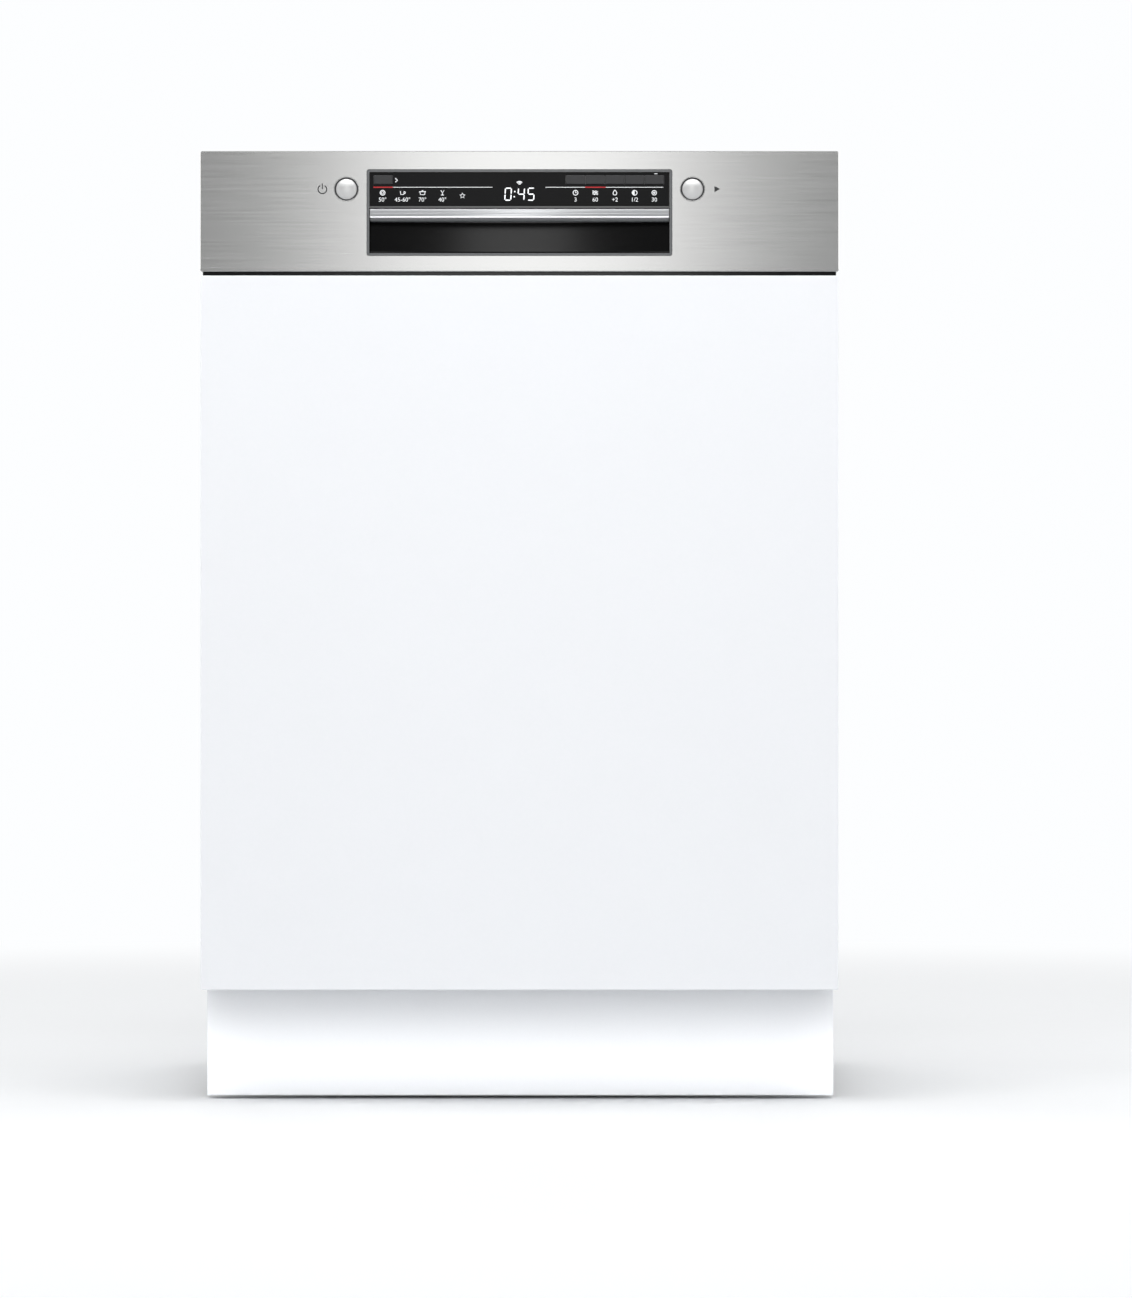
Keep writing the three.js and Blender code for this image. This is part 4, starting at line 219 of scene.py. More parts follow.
# %% Lamps and world
ROOM_WHITE = (0.98, 0.99, 1.0, 1)
CARD_EDGE, ROOM_LIGHT = (-0.85, -0.45), (0.28, 1.0)


def soft_box(name, place, aim, width, height, watts, spread=180):
    """A rectangle of light at `place` that faces the point `aim`; a small spread keeps its beam narrow."""
    data = bpy.data.lights.new(name, "AREA")
    data.shape = "RECTANGLE"
    data.size, data.size_y = width, height
    data.energy = watts
    data.spread = math.radians(spread)
    lamp = bpy.data.objects.new(name, data)
    way = np.array(aim, float) - np.array(place, float)
    lamp.location = place
    lamp.rotation_euler = (math.atan2(math.hypot(way[0], way[1]), -way[2]), 0, math.atan2(-way[0], way[1]))
    bpy.context.scene.collection.objects.link(lamp)


def add(tree, kind, settings=(), **sockets):
    """A new shader node with its settings and socket values; an underscore stands for a space."""
    node = tree.nodes.new("ShaderNode" + kind)
    for key, value in dict(settings).items():
        setattr(node, key, value)
    for socket, value in sockets.items():
        node.inputs[socket.replace("_", " ")].default_value = value
    return node


def either(tree, first, second, way="MAXIMUM"):
    """One Math node over two sockets: the larger of them, or their product."""
    node = add(tree, "Math", {"operation": way})
    tree.links.new(first, node.inputs[0])
    tree.links.new(second, node.inputs[1])
    return node.outputs["Value"]


soft_box("front_box", (-0.019, FRONT - 3.2, 1.35), (-0.019, FRONT, 1.25), 0.54, 2.3, 11.8)
soft_box("overhead", (0, FRONT - 1.3, 2.7), (0, FRONT + 0.1, 0.75), 3.2, 1.4, 55)
soft_box("toe_light", (0, FRONT - 1.6, 0.035), (0, FRONT, 0.03), 2.6, 0.05, 0.26, spread=5)
for side, name in ((-1, "left_fill"), (1, "right_fill")):
    soft_box(name, (side * 3.0, 0.2, 1.4), (0, 0, 0.5), 1.6, 1.8, 24)
soft_box("back_fill", (0, 1.7, 2.2), (0, 0.2, 0.5), 2.4, 0.8, 20)
world = bpy.data.worlds.new("room")
bpy.context.scene.world = world
world.use_nodes = True
sky = world.node_tree
air = sky.nodes["Background"]
air.inputs["Color"].default_value = ROOM_WHITE
rays, way, axes = (add(sky, kind) for kind in ("LightPath", "TexCoord", "SeparateXYZ"))
card = add(sky, "MapRange", {"interpolation_type": "SMOOTHSTEP"},
           From_Min=CARD_EDGE[0], From_Max=CARD_EDGE[1])
level = add(sky, "MapRange", To_Min=ROOM_LIGHT[0], To_Max=ROOM_LIGHT[1])
sky.links.new(way.outputs["Generated"], axes.inputs["Vector"])
sky.links.new(axes.outputs["Y"], card.inputs["Value"])
mirrored = either(sky, rays.outputs["Is Glossy Ray"], rays.outputs["Is Transmission Ray"])
mirrored = either(sky, mirrored, card.outputs["Result"], "MULTIPLY")
sky.links.new(either(sky, rays.outputs["Is Camera Ray"], mirrored), level.inputs["Value"])
sky.links.new(level.outputs["Result"], air.inputs["Strength"])
bpy.context.scene.view_settings.view_transform = "Standard"


# %% [markdown]
# ## Finishes
# Most finishes share one recipe: a noise over the object's own coordinates, stretched along the grain,
# moves the colour between two tones, moves the roughness a little, and lifts the surface by a fraction of a
# tenth of a millimetre. A second, larger noise adds the faint clouds that any real surface has.

# %% Recipe for a finish
CLOUD_SCALE, CLOUD_DETAIL = 7, 2


def srgb(*levels):
    """Linear values of screen levels from 0 to 255: the power law of the sRGB standard."""
    c = np.array(levels, float) / 255
    return np.where(c <= 0.04045, c / 12.92, ((c + 0.055) / 1.055) ** 2.4).tolist() + [1.0]


def finish(name, dark, light, rough=(0.4, 0.5), metallic=0.0, scale=400, stretch=(1, 1, 1), bump=0.02,
           depth=0.0001, cloud=0.0, detail=3.0, **sockets):
    """Colour = dark + n (light - dark), both as screen levels; roughness runs over `rough` with n, the noise;
    height = n. Clouds multiply the colour by 1 - cloud where the second noise is 1."""
    mat = LOOKS[name] = bpy.data.materials.new(name)
    mat.use_nodes = True
    tree = mat.node_tree
    link, shader = tree.links.new, tree.nodes["Principled BSDF"]
    for socket, value in dict(sockets, Metallic=metallic).items():
        shader.inputs[socket.replace("_", " ")].default_value = value
    place = add(tree, "TexCoord")
    grain = add(tree, "Mapping", Scale=stretch)
    noise = add(tree, "TexNoise", Scale=scale, Detail=detail)
    tones = add(tree, "Mix", {"data_type": "RGBA"}, A=srgb(*dark), B=srgb(*light))
    rub = add(tree, "MapRange", To_Min=rough[0], To_Max=rough[1])
    lift = add(tree, "Bump", Strength=bump, Distance=depth)
    link(place.outputs["Object"], grain.inputs["Vector"])
    link(grain.outputs["Vector"], noise.inputs["Vector"])
    for node, socket in ((tones, "Factor"), (rub, "Value"), (lift, "Height")):
        link(noise.outputs["Fac"], node.inputs[socket])
    link(rub.outputs["Result"], shader.inputs["Roughness"])
    link(lift.outputs["Normal"], shader.inputs["Normal"])
    colour = tones.outputs["Result"]
    if cloud:
        drift = add(tree, "TexNoise", Scale=CLOUD_SCALE, Detail=CLOUD_DETAIL)
        haze = add(tree, "Mix", {"data_type": "RGBA", "blend_type": "MULTIPLY"}, B=(1 - cloud,) * 3 + (1,))
        link(place.outputs["Object"], drift.inputs["Vector"])
        link(drift.outputs["Fac"], haze.inputs["Factor"])
        link(colour, haze.inputs["A"])
        colour = haze.outputs["Result"]
    link(colour, shader.inputs["Base Color"])
    return mat


print("screen level 128 in linear light:", round(srgb(128)[0], 3))

# %% [markdown]
# Steel comes in four kinds here: the brushed fascia with lines along its length, the satin tub, the
# galvanised case with its faint crystals, and the grey-primed case of the door. Brushed steel mirrors
# sharply along its lines and blurs across them, so the fascia's shine is drawn out round a vertical axis.

# %% Metals
brushed = finish("fascia_steel", (152, 152, 151), (166, 166, 165), (0.23, 0.29), 1.0, scale=24,
                 stretch=(0.5, 26, 26), bump=0.01, depth=0.00003, detail=5, Anisotropic=0.8,
                 Anisotropic_Rotation=0.25)
around = add(brushed.node_tree, "Tangent", {"direction_type": "RADIAL", "axis": "Z"})
brushed.node_tree.links.new(around.outputs["Tangent"],
                            brushed.node_tree.nodes["Principled BSDF"].inputs["Tangent"])
finish("tub_steel", (196, 198, 199), (214, 216, 216), (0.24, 0.36), 1.0, scale=40, stretch=(1, 1, 30),
       bump=0.05, depth=0.00006, cloud=0.06)
finish("zinc_steel", (158, 161, 164), (190, 193, 195), (0.36, 0.52), 0.9, scale=70, bump=0.03, cloud=0.1,
       detail=6)
finish("door_steel", (166, 169, 171), (184, 187, 188), (0.4, 0.5), 0.7, scale=120, bump=0.04, cloud=0.06)
finish("spring_steel", (130, 132, 134), (176, 178, 180), (0.25, 0.4), 1.0, scale=300, bump=0.05, cloud=0.1)
print("metals:", list(LOOKS))

# %% [markdown]
# The furniture panel is sprayed lacquer: almost white, satin, with the fine ripple known as orange peel.
# The plastics differ mostly in how matt they are. The rubber of the seal and the felt of the hood are
# rough and drink the light. Four inks serve for the print on the glass and on the steel.

# %% Lacquer, plastics, rubber, felt and inks
finish("white_lacquer", (243, 245, 248), (246, 247, 250), (0.34, 0.4), scale=450, bump=0.04, depth=0.00008,
       cloud=0.012, Specular_IOR_Level=0.4)
finish("gloss_black", (14, 14, 15), (20, 20, 21), (0.1, 0.16), scale=200, bump=0.01, cloud=0.2,
       Coat_Weight=0.3, Coat_Roughness=0.05)
finish("display_black", (15, 15, 16), (19, 19, 20), (0.08, 0.12), scale=90, bump=0.004,
       Specular_IOR_Level=0.045)
finish("recess_black", (10, 10, 11), (15, 15, 16), (0.13, 0.17), scale=240, bump=0.01,
       Specular_IOR_Level=0.23)
finish("rim_grey", (86, 88, 90), (104, 106, 108), (0.3, 0.42), scale=500, bump=0.04)
finish("silver_bar", (196, 197, 199), (204, 205, 207), (0.3, 0.32), 0.8, scale=3, bump=0.0)
# near white and barely metallic: a painted highlight for the bead under the bar
finish("bead_painted_highlight", (242, 242, 244), (246, 246, 248), (0.3, 0.32), 0.25, scale=3, bump=0.0)
finish("pearl_button", (198, 198, 198), (206, 206, 205), (0.34, 0.4), 0.35, scale=900, bump=0.01,
       depth=0.00002, Coat_Weight=0.25, Coat_Roughness=0.15)
finish("key_grey", (29, 29, 31), (35, 35, 37), (0.38, 0.46), scale=700, bump=0.05)
finish("black_housing", (38, 39, 41), (50, 51, 53), (0.5, 0.65), scale=900, bump=0.15, cloud=0.1)
finish("grey_plastic", (126, 131, 136), (140, 145, 149), (0.4, 0.55), scale=700, bump=0.1, cloud=0.06)
finish("white_plastic", (214, 216, 215), (226, 228, 227), (0.38, 0.5), scale=600, bump=0.08, cloud=0.05)
finish("base_black", (40, 41, 44), (56, 57, 60), (0.55, 0.7), scale=500, bump=0.2, cloud=0.15)
finish("seal_rubber", (34, 34, 36), (52, 52, 54), (0.65, 0.8), scale=500, bump=0.15, cloud=0.1)
finish("insulation_felt", (48, 48, 50), (92, 91, 90), (0.85, 0.95), scale=260, bump=0.9, depth=0.0006,
       cloud=0.3, detail=8)
finish("coated_wire", (150, 155, 160), (166, 171, 175), (0.3, 0.42), scale=800, bump=0.08, cloud=0.05,
       Coat_Weight=0.2)
# the white print is ink yet glows at 0.15, a painted glow; the clock's print glows as a lit display does
for name, dark, light, glow in (("white_print_with_painted_glow", (236, 238, 240), (242, 244, 246), 0.15),
                                ("lit_print", (240, 243, 246), (246, 248, 250), 0.35)):
    finish(name, dark, light, (0.5, 0.6), scale=900, bump=0.0, Emission_Color=(1, 1, 1, 1),
           Emission_Strength=glow)
finish("red_print", (168, 20, 26), (190, 26, 32), (0.4, 0.5), scale=900, bump=0.0)
finish("dark_print", (34, 34, 35), (42, 42, 43), (0.5, 0.6), scale=900, bump=0.0)
print("finishes made:", len(LOOKS))

# %% [markdown]
# The floor is nearly white and keeps the shadow of the machine. Further out it turns into the same white as
# the room, so no edge shows: there its colour is shown as written to the camera and to anything that
# mirrors it, while for the light that falls on the machine it stays an ordinary matt floor.

# %% Floor finish
FADE_FROM, FADE_TO = 1.1, 2.6
pale_floor = finish("pale_floor", (247, 248, 249), (249, 250, 251), (0.7, 0.8), scale=30, bump=0.0)
tree = pale_floor.node_tree
link = tree.links.new
far = add(tree, "VectorMath", {"operation": "LENGTH"})
fade = add(tree, "MapRange", {"interpolation_type": "SMOOTHSTEP"}, From_Min=FADE_FROM, From_Max=FADE_TO)
ground = add(tree, "Emission", Color=ROOM_WHITE)
rays, both = add(tree, "LightPath"), add(tree, "MixShader")
link(tree.nodes["Texture Coordinate"].outputs["Object"], far.inputs[0])
link(far.outputs["Value"], fade.inputs["Value"])
seen = either(tree, rays.outputs["Is Glossy Ray"], rays.outputs["Is Transmission Ray"])
seen = either(tree, rays.outputs["Is Camera Ray"], seen)
link(either(tree, seen, fade.outputs["Result"], "MULTIPLY"), both.inputs["Fac"])
link(tree.nodes["Principled BSDF"].outputs["BSDF"], both.inputs[1])
link(ground.outputs["Emission"], both.inputs[2])
link(both.outputs["Shader"], tree.nodes["Material Output"].inputs["Surface"])
floor.data.materials.append(pale_floor)
print("floor shade:", [n.bl_idname for n in tree.nodes][-3:])

# %% [markdown]
# ## Dress the skeleton
# Each CAD node keeps its mesh and takes the finish that is called like its slot in the record, so the two
# can't drift apart.

# %% Give every CAD node its finish
for name, node in nodes.items():
    for place in node.material_slots:
        old = place.material.name.split(".")[0]
        if old in LOOKS:
            place.material = LOOKS[old]
        else:
            print("no finish for", name, place.material.name)
print("dressed", len(nodes), "nodes")


# %% [markdown]
# ## The furniture panel
# A kitchen door is a flat board whose edges are eased by hand and then sprayed. Its skin is a stack of
# rounded rectangles: each ring is the outline, drawn in by 1 - sin of the edge's turn and pushed back by
# 1 - cos of it, so the edge is a true quarter round.

# %% Eased boards
def outline(x0, x1, z0, z1, radius, steps=6):
    """Rounded rectangle in X and Z: four quarter circles, one about each corner's centre."""
    angle = np.linspace(0, math.pi / 2, steps)
    parts = []
    for k, (cx, cz) in enumerate([(x1 - radius, z1 - radius), (x0 + radius, z1 - radius),
                                  (x0 + radius, z0 + radius), (x1 - radius, z0 + radius)]):
        a = angle + k * math.pi / 2
        parts.append(np.stack([cx + radius * np.cos(a), cz + radius * np.sin(a)], 1))
    return np.concatenate(parts)


def rims(start, end, ease, steps):
    """Pairs (inset, place) of the rings of two rounded rims: ease (1 - sin t) in, ease (1 - cos t) along."""
    t = np.linspace(0, math.pi / 2, steps)
    inset, along = ease * (1 - np.sin(t)), ease * (1 - np.cos(t))
    return zip([*inset, *inset[::-1]], [*(start + along), *(end - along[::-1])])


def upright(low, high, corner, inset, y, least):
    """The rounded outline of a box seen from the front, drawn in by `inset` and set at depth y."""
    flat = outline(low[0] + inset, high[0] - inset, low[2] + inset, high[2] - inset,
                   max(corner - inset, least))
    return set_out("y", *flat.T, y)


def board(name, low, high, ease, corner, steps=5):
    """Skin of an upright board: its outline, drawn in at the two rims."""
    rings = [upright(low, high, corner, inset, y, 0.2 * mm)
             for inset, y in rims(low[1], high[1], ease, steps)]
    return stacked(name, rings, 50)


panel = board("door_board", *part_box("furniture_panel"), 0.0012, 0.0015)
dress(panel, "door", "white_lacquer", "furniture_panel")


# %% [markdown]
# The joint between the steel and the board is closed by a dark strip, set back a little, so that it reads as
# a fine black line. It stands for the rubber seal and also for the shade in the gap: its near-black, darker
# than the rubber, is painted shade.

# %% Strip in the joint
panel_low, panel_high = corners("furniture_panel")
steel_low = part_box("fascia")[0]
# a dark seal strip whose near-black finish is also painted shade of the gap
strip = board("joint_seal_and_shade_strip", (panel_low[0] + 0.002, panel_low[1] + 0.0022, panel_high[2] + 0.0001),
              (panel_high[0] - 0.002, panel_high[1] - 0.002, steel_low.z - 0.0001), 0.0005, 0.0006)
dress(strip, "door", "black_housing", look="recess_black")


# %% [markdown]
# The plinth is a second board, set back under the door and a little proud of the floor.

# %% Plinth
PLINTH_THICK = 0.018
foot_low, foot_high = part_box("plinth_panel")
plinth = board("plinth_board", foot_low, (foot_high.x, foot_low.y + PLINTH_THICK, foot_high.z), 0.001,
               0.0012)
dress(plinth, "cabinet", "white_lacquer", "plinth_panel")


# %% [markdown]
# ## Grip recess
# The finger grip is a black trough with soft corners at its back, and a narrow grey frame hides the seam to
# the steel. The trough is a C-shaped section carried along the width; the frame is a small section carried
# round a rounded rectangle. In both the section is closed, so that the wall has a thickness.

# %% Frames and troughs
def arc(cx, cz, radius, start=0, end=360, steps=24):
    """Points on a circle about (cx, cz) between two angles in degrees; a full circle has no doubled point."""
    t = np.radians(np.linspace(start, end, steps, endpoint=end - start < 360))
    return np.stack([cx + radius * np.cos(t), cz + radius * np.sin(t)], 1)


grip_low, grip_high = corners("grip_surround")
FRAME, FRAME_CORNER = 2.3 * mm, 2 * mm
face = grip_low[1]
# points (inset, y) of the frame's section
frame_section = [(0, face + 1.5 * mm), (0, face + 0.2 * mm), (0.3 * mm, face - 0.06 * mm),
                 (FRAME - 0.4 * mm, face - 0.06 * mm), (FRAME - 0.05 * mm, face + 0.3 * mm),
                 (FRAME, face + 1.5 * mm)]
rings = [upright(grip_low, grip_high, FRAME_CORNER, inset, y, 0.3 * mm) for inset, y in frame_section]
dress(mesh_of("grip_frame", *skin(rings, ring=True), 40), "door", "gloss_black", look="rim_grey")

# %% Trough for the fingers
SKIN, LEAN, SCOOP = 0.2 * mm, 3 * mm, 13.5
FOOT_ROUND, TOP_ROUND, TILT = 5 * mm, 12 * mm, 4
bar_low, bar_high = corners("handle_bar")
trough_x = grip_high[0] - FRAME - 0.05 * mm
trough_back = grip_high[1] - 2.05 * mm
trough_bottom, trough_top = grip_low[2] + FRAME + 0.05 * mm, bar_high[2] + 0.25 * mm
trough_front = face + 1.6 * mm
walls = []
for shrink in (0, SKIN):
    walls.append(np.concatenate([
        [[trough_front, trough_bottom + shrink]],
        arc(trough_back - LEAN - FOOT_ROUND, trough_bottom + FOOT_ROUND, FOOT_ROUND - shrink, -90, TILT, 9),
        arc(trough_back - TOP_ROUND, trough_top - TOP_ROUND, TOP_ROUND - shrink, TILT, 90, 12),
        [[trough_front, trough_top - shrink]],
    ]))
section = np.concatenate([walls[0], walls[1][::-1]])
# the trough is deepest in the middle: its depth shrinks by SCOOP times the square of the distance from there
rings = [set_out("x", trough_front + (section[:, 0] - trough_front) * (1 - SCOOP * x * x), section[:, 1], x)
         for x in np.linspace(-trough_x, trough_x, 41)]
dress(stacked("grip_trough", rings, 50), "door", "gloss_black", look="recess_black")
for side, name in ((-1, "grip_cheek_left"), (1, "grip_cheek_right")):
    edge = sorted((side * trough_x, side * (trough_x - SKIN)))
    cheek = board(name, (edge[0], trough_front, trough_bottom), (edge[1], trough_back, trough_top), 0.00005,
                  0.3 * mm, 2)
    dress(cheek, "door", "gloss_black", look="recess_black")


# %% [markdown]
# ## Handle bar
# One section carried along the whole width: a rounded top edge, a long face that leans back a little at its
# top, and a fine bead along its foot, which is painted near white as a highlight. Under the bead a lip turns
# in for the fingertips; its darker grey is partly painted shade of the groove under the bar.

# %% Bar across the grip
def carried(name, section, x0, x1, ease=0.0003):
    """Points (y, z) of a closed section, carried along X; both ends are drawn in by `ease` for the edge."""
    section = np.asarray(section, float)
    inward = unit(section - section.mean(0))
    stops = [(x0, ease), (x0 + ease, 0), (x1 - ease, 0), (x1, ease)]
    return stacked(name, [set_out("x", *(section - inward * inset).T, x) for x, inset in stops], 40)


def bend(start, control, end, steps=10):
    """Quadratic curve: (1-t)^2 start + 2 t (1-t) control + t^2 end."""
    t = np.linspace(0, 1, steps)[:, None]
    a, b, c = (np.array(p, float) for p in (start, control, end))
    return (1 - t) ** 2 * a + 2 * t * (1 - t) * b + t ** 2 * c


y0, y1, z0, z1 = bar_low[1], bar_high[1], bar_low[2], bar_high[2]
BEAD = z1 - 8.3 * mm
section = np.concatenate([
    [[y1, BEAD - 0.8 * mm], [y1, z1]],
    bend((y0 + 2.4 * mm, z1), (y0 + 0.95 * mm, z1), (y0 + 0.75 * mm, z1 - 1.1 * mm), 7),
    bend((y0 + 0.75 * mm, z1 - 1.1 * mm), (y0 + 0.15 * mm, z1 - 3.4 * mm), (y0 + 0.1 * mm, z1 - 7.3 * mm),
         12)[1:],
    [[y0 + 0.9 * mm, z1 - 7.5 * mm]],
    arc(y0 + 0.8 * mm, BEAD, 0.8 * mm, 100, 260, 11),
    [[y0 + 1.6 * mm, BEAD - 0.8 * mm]],
])
dress(carried("grip_bar", section, bar_low[0], bar_high[0]), "door", "silver_bar", "handle_bar")
# the bead's near-white finish is a painted highlight along the bar
turn = arc(y0 + 0.85 * mm, BEAD, 0.95 * mm, 0, 330, 12)
dress(carried("grip_bar_bead", turn, bar_low[0] + 0.3 * mm, bar_high[0] - 0.3 * mm), "door", "silver_bar",
      look="bead_painted_highlight")

# %% Lip under the bar
lip_top, lip_back = BEAD - 0.85 * mm, y1 - 1 * mm
section = np.concatenate([
    [[lip_back, z0], [lip_back, lip_top], [y0 + 1.3 * mm, lip_top]],
    bend((y0 + 1.0 * mm, lip_top - 0.5 * mm), (y0 + 0.9 * mm, z0 + 0.5 * mm), (y0 + 3.4 * mm, z0), 9),
])
# the lip's grey, darker than the bar, is partly painted shade of the groove under the bar
lip = carried("grip_bar_shade_lip", section, bar_low[0] + 0.2 * mm, bar_high[0] - 0.2 * mm)
dress(lip, "door", "black_housing", look="rim_grey")


# %% [markdown]
# ## Buttons
# A cap is turned: its profile of radius and height is swung round the axis, which here runs into the door.
# The crown is a shallow dome, the edge a small round, and below it the skirt and stem disappear inside.
# A black collar lies round each cap, a dark ring that paints the shade of the gap round the cap, and round
# that the rolled edge of the steel.

# %% Caps turned on an axis
def lathe(profile, centre, axis="z", sides=32, ring=False, ribs=0.0, count=24):
    """Points (r cos a, r sin a, h) about an axis through `centre`. Where r is over 0.9 of its largest it
    shrinks by ribs (1 + cos(count a)) / 2. A profile runs from axis to axis; a ring closes on itself."""
    r, h = np.asarray(profile, float).T[:, :, None]
    a = np.linspace(0, FULL_TURN, sides, endpoint=False)
    if ribs:
        r = r - ribs * (r > 0.9 * r.max()) * (1 + np.cos(count * a)) / 2
    return skin(set_out(axis, r * np.cos(a), r * np.sin(a), h) + np.asarray(centre, float), ring)


steel_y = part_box("fascia")[0].y
ROUND, STEM, SKIRT, DISH = 0.9 * mm, 4 * mm, 10 * mm, 2.3 * mm
for node, name in (("power_button", "power_cap"), ("start_button", "start_cap")):
    cap_low, cap_high = corners(node)
    middle, radius = (cap_low + cap_high) / 2, (cap_high[0] - cap_low[0]) / 2 - 0.15 * mm
    deep = cap_high[1] - cap_low[1]
    t = np.linspace(0.02, 1, 14)
    profile = np.concatenate([
        np.stack([(radius - ROUND) * t, DISH * t ** 2], 1),
        arc(radius - ROUND, DISH + ROUND, ROUND, -60, 0, 6),
        [[radius, SKIRT], [STEM, SKIRT], [STEM, deep], [0.1 * mm, deep]],
    ])
    cap = mesh_of(name, *lathe(profile, (middle[0], cap_low[1], middle[2]), "y", 64))
    dress(cap, node, "pearl_button", node)
    r, centre = radius + 0.1 * mm, (middle[0], steel_y, middle[2])
    # the black collar is painted shade of the gap between the cap and the steel
    collar = [(r, 0.5 * mm), (r, 0.1 * mm), (r + 0.3 * mm, -0.12 * mm), (r + 0.7 * mm, -0.12 * mm),
              (r + 0.9 * mm, 0.4 * mm)]
    dress(mesh_of(name + "_gap_shade_collar", *lathe(collar, centre, "y", 72, ring=True), 40), "door",
          "black_housing")
    r += 0.95 * mm
    edge = [(r, 0.4 * mm), (r, 0.1 * mm), (r + 0.35 * mm, -0.08 * mm), (r + 0.55 * mm, -0.05 * mm),
            (r + 0.6 * mm, 0.4 * mm)]
    dress(mesh_of(name + "_edge", *lathe(edge, centre, "y", 72, ring=True), 40), "door", "fascia_steel")


# %% [markdown]
# ## Keys
# The keys lie in slots of the glass. Each is a small board with soft corners; under the light from above its
# satin face looks darker towards the bottom.

# %% Keys
for node in ["program_key"] + [f"option_key_{i}" for i in range(1, 6)]:
    key = board(node + "_cap", *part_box(node), 0.0006, 0.0009)
    dress(key, node, "key_grey", node)


# %% [markdown]
# ## Print
# The marks on the glass and the fascia are thin flat shapes lying on the surface: lines, digits and small
# pictograms. A line is a ribbon, its points pushed half a width to both sides along the normal.

# %% Ribbons and letters
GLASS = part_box("display_glass")[0].y
PROUD = 0.00004
TYPE_SIZE = 1.4


def printed(name, shapes, y, look, slot="display_black"):
    """Flat pieces (points in x and z, in millimetres, with faces) laid just before the plane y. A face whose
    signed area, half the sum of x z' - x' z, is negative is turned round, so that all look forwards."""
    verts, faces, count = [], [], 0
    for points, polygons in shapes:
        points = np.asarray(points, float) * mm
        for f in polygons:
            x, z = points[list(f), 0], points[list(f), 1]
            area = np.sum(x * np.roll(z, -1) - z * np.roll(x, -1))
            faces.append([v + count for v in (f if area > 0 else list(f)[::-1])])
        verts.append(set_out("y", *points.T, y - PROUD))
        count += len(points)
    return dress(mesh_of(name, np.concatenate(verts), faces), "door", slot, look=look)


def ribbon(points, width, closed=False):
    """A line of even width: each point moves half the width along the normal of the line there."""
    p = np.asarray(points, float)
    ahead, behind = np.roll(p, -1, 0) - p, p - np.roll(p, 1, 0)
    if not closed:
        ahead[-1], behind[0] = behind[-1], ahead[0]
    way = unit(unit(ahead) + unit(behind))
    side = np.stack([-way[:, 1], way[:, 0]], 1) * width / 2
    return np.stack([p + side, p - side], 1).reshape(-1, 2), quads(len(p), 2, closed, False)


def box2(x0, x1, z0, z1):
    """A filled rectangle."""
    return np.array([[x0, z0], [x1, z0], [x1, z1], [x0, z1]], float), [[0, 1, 2, 3]]


def typed(text, x, z, height):
    """Digits and signs as flat faces, centred on (x, z): a text object turned into a mesh and read back."""
    curve = bpy.data.curves.new("type", "FONT")
    curve.body = text
    curve.align_x, curve.align_y = "CENTER", "CENTER"
    curve.size = height * TYPE_SIZE
    curve.resolution_u = 4
    block = bpy.data.objects.new("type", curve)
    bpy.context.scene.collection.objects.link(block)
    mesh = bpy.data.meshes.new_from_object(block.evaluated_get(bpy.context.evaluated_depsgraph_get()))
    points = np.empty(len(mesh.vertices) * 3)
    mesh.vertices.foreach_get("co", points)
    faces = [list(p.vertices) for p in mesh.polygons]
    bpy.data.objects.remove(block)
    return points.reshape(-1, 3)[:, :2] + (x, z), faces


print("the glass lies at y =", round(GLASS, 4))

# %% [markdown]
# Under each key stands a pictogram and below it a number. They are drawn from circles and short lines: a
# pot, a plate, a glass, a cup and a star for the programs; a clock, a drop, waves, a half and a ring for
# the options. A star's points lie at two radii in turn, a drop's width shrinks towards its tip by
# 1 - 0.45 cos t, and a wave is z = 0.3 sin(3.7 x).

# %% Marks on the glass
PEN, FINE = 0.46, 0.46 * 0.9
SIGN_SIZE, SIGN_Z, NUMBER_Z, NUMBER_SIZE = 1.5, 854.2, 847.6, 3.9
corner = np.arange(10)
star = np.radians(90 + 36 * corner)
reach = np.where(corner % 2, 0.75, 1.75)
t = np.linspace(0, FULL_TURN, 24, endpoint=False)
s = np.linspace(-1.7, 1.7, 16)
half = arc(0, 0, 1.4, 90, 270, 14)
SIGNS = {
    "pot": [ribbon([(-1.6, 0.7), (-1.3, -1.2), (1.3, -1.2), (1.6, 0.7)], PEN),
            ribbon([(-2.1, 0.7), (2.1, 0.7)], PEN), ribbon([(-0.5, 1.3), (0.5, 1.3)], PEN)],
    "plate": [ribbon(arc(0, 0, 1.5), PEN, True), ribbon(arc(0, 0, 0.75), PEN * 0.8, True)],
    "glass": [ribbon([(-1, 1.5), (0, -0.1), (1, 1.5)], PEN), ribbon([(0, 0), (0, -1.4)], PEN),
              ribbon([(-0.9, -1.4), (0.9, -1.4)], PEN)],
    "cup": [ribbon([(-1.4, 1), (-1.1, -1.1), (0.7, -1.1), (1, 1)], PEN),
            ribbon(arc(1.1, 0.1, 0.65, -100, 100, 10), PEN)],
    "star": [ribbon(np.stack([reach * np.cos(star), reach * np.sin(star)], 1), FINE, True)],
    "clock": [ribbon(arc(0, 0, 1.5), PEN, True), ribbon([(0, 1), (0, 0), (0.8, 0)], FINE)],
    "drop": [ribbon(np.stack([1.05 * np.sin(t) * (1 - 0.45 * np.cos(t)), 0.1 + 1.5 * np.cos(t)], 1), PEN,
                    True)],
    "waves": [ribbon(np.stack([s, d + 0.3 * np.sin(s * 3.7)], 1), PEN) for d in (-0.9, 0, 0.9)],
    "half": [ribbon(arc(0, 0, 1.5), PEN, True), (half, [list(range(len(half)))])],
    "ring": [ribbon(arc(0, 0, 1.4), PEN, True), ribbon(arc(0, 0, 0.5), PEN, True)],
}


def pictogram(kind, x, z):
    """A sign at SIGN_SIZE times its drawn size, moved to (x, z)."""
    return [(points * SIGN_SIZE + (x, z), faces) for points, faces in SIGNS[kind]]


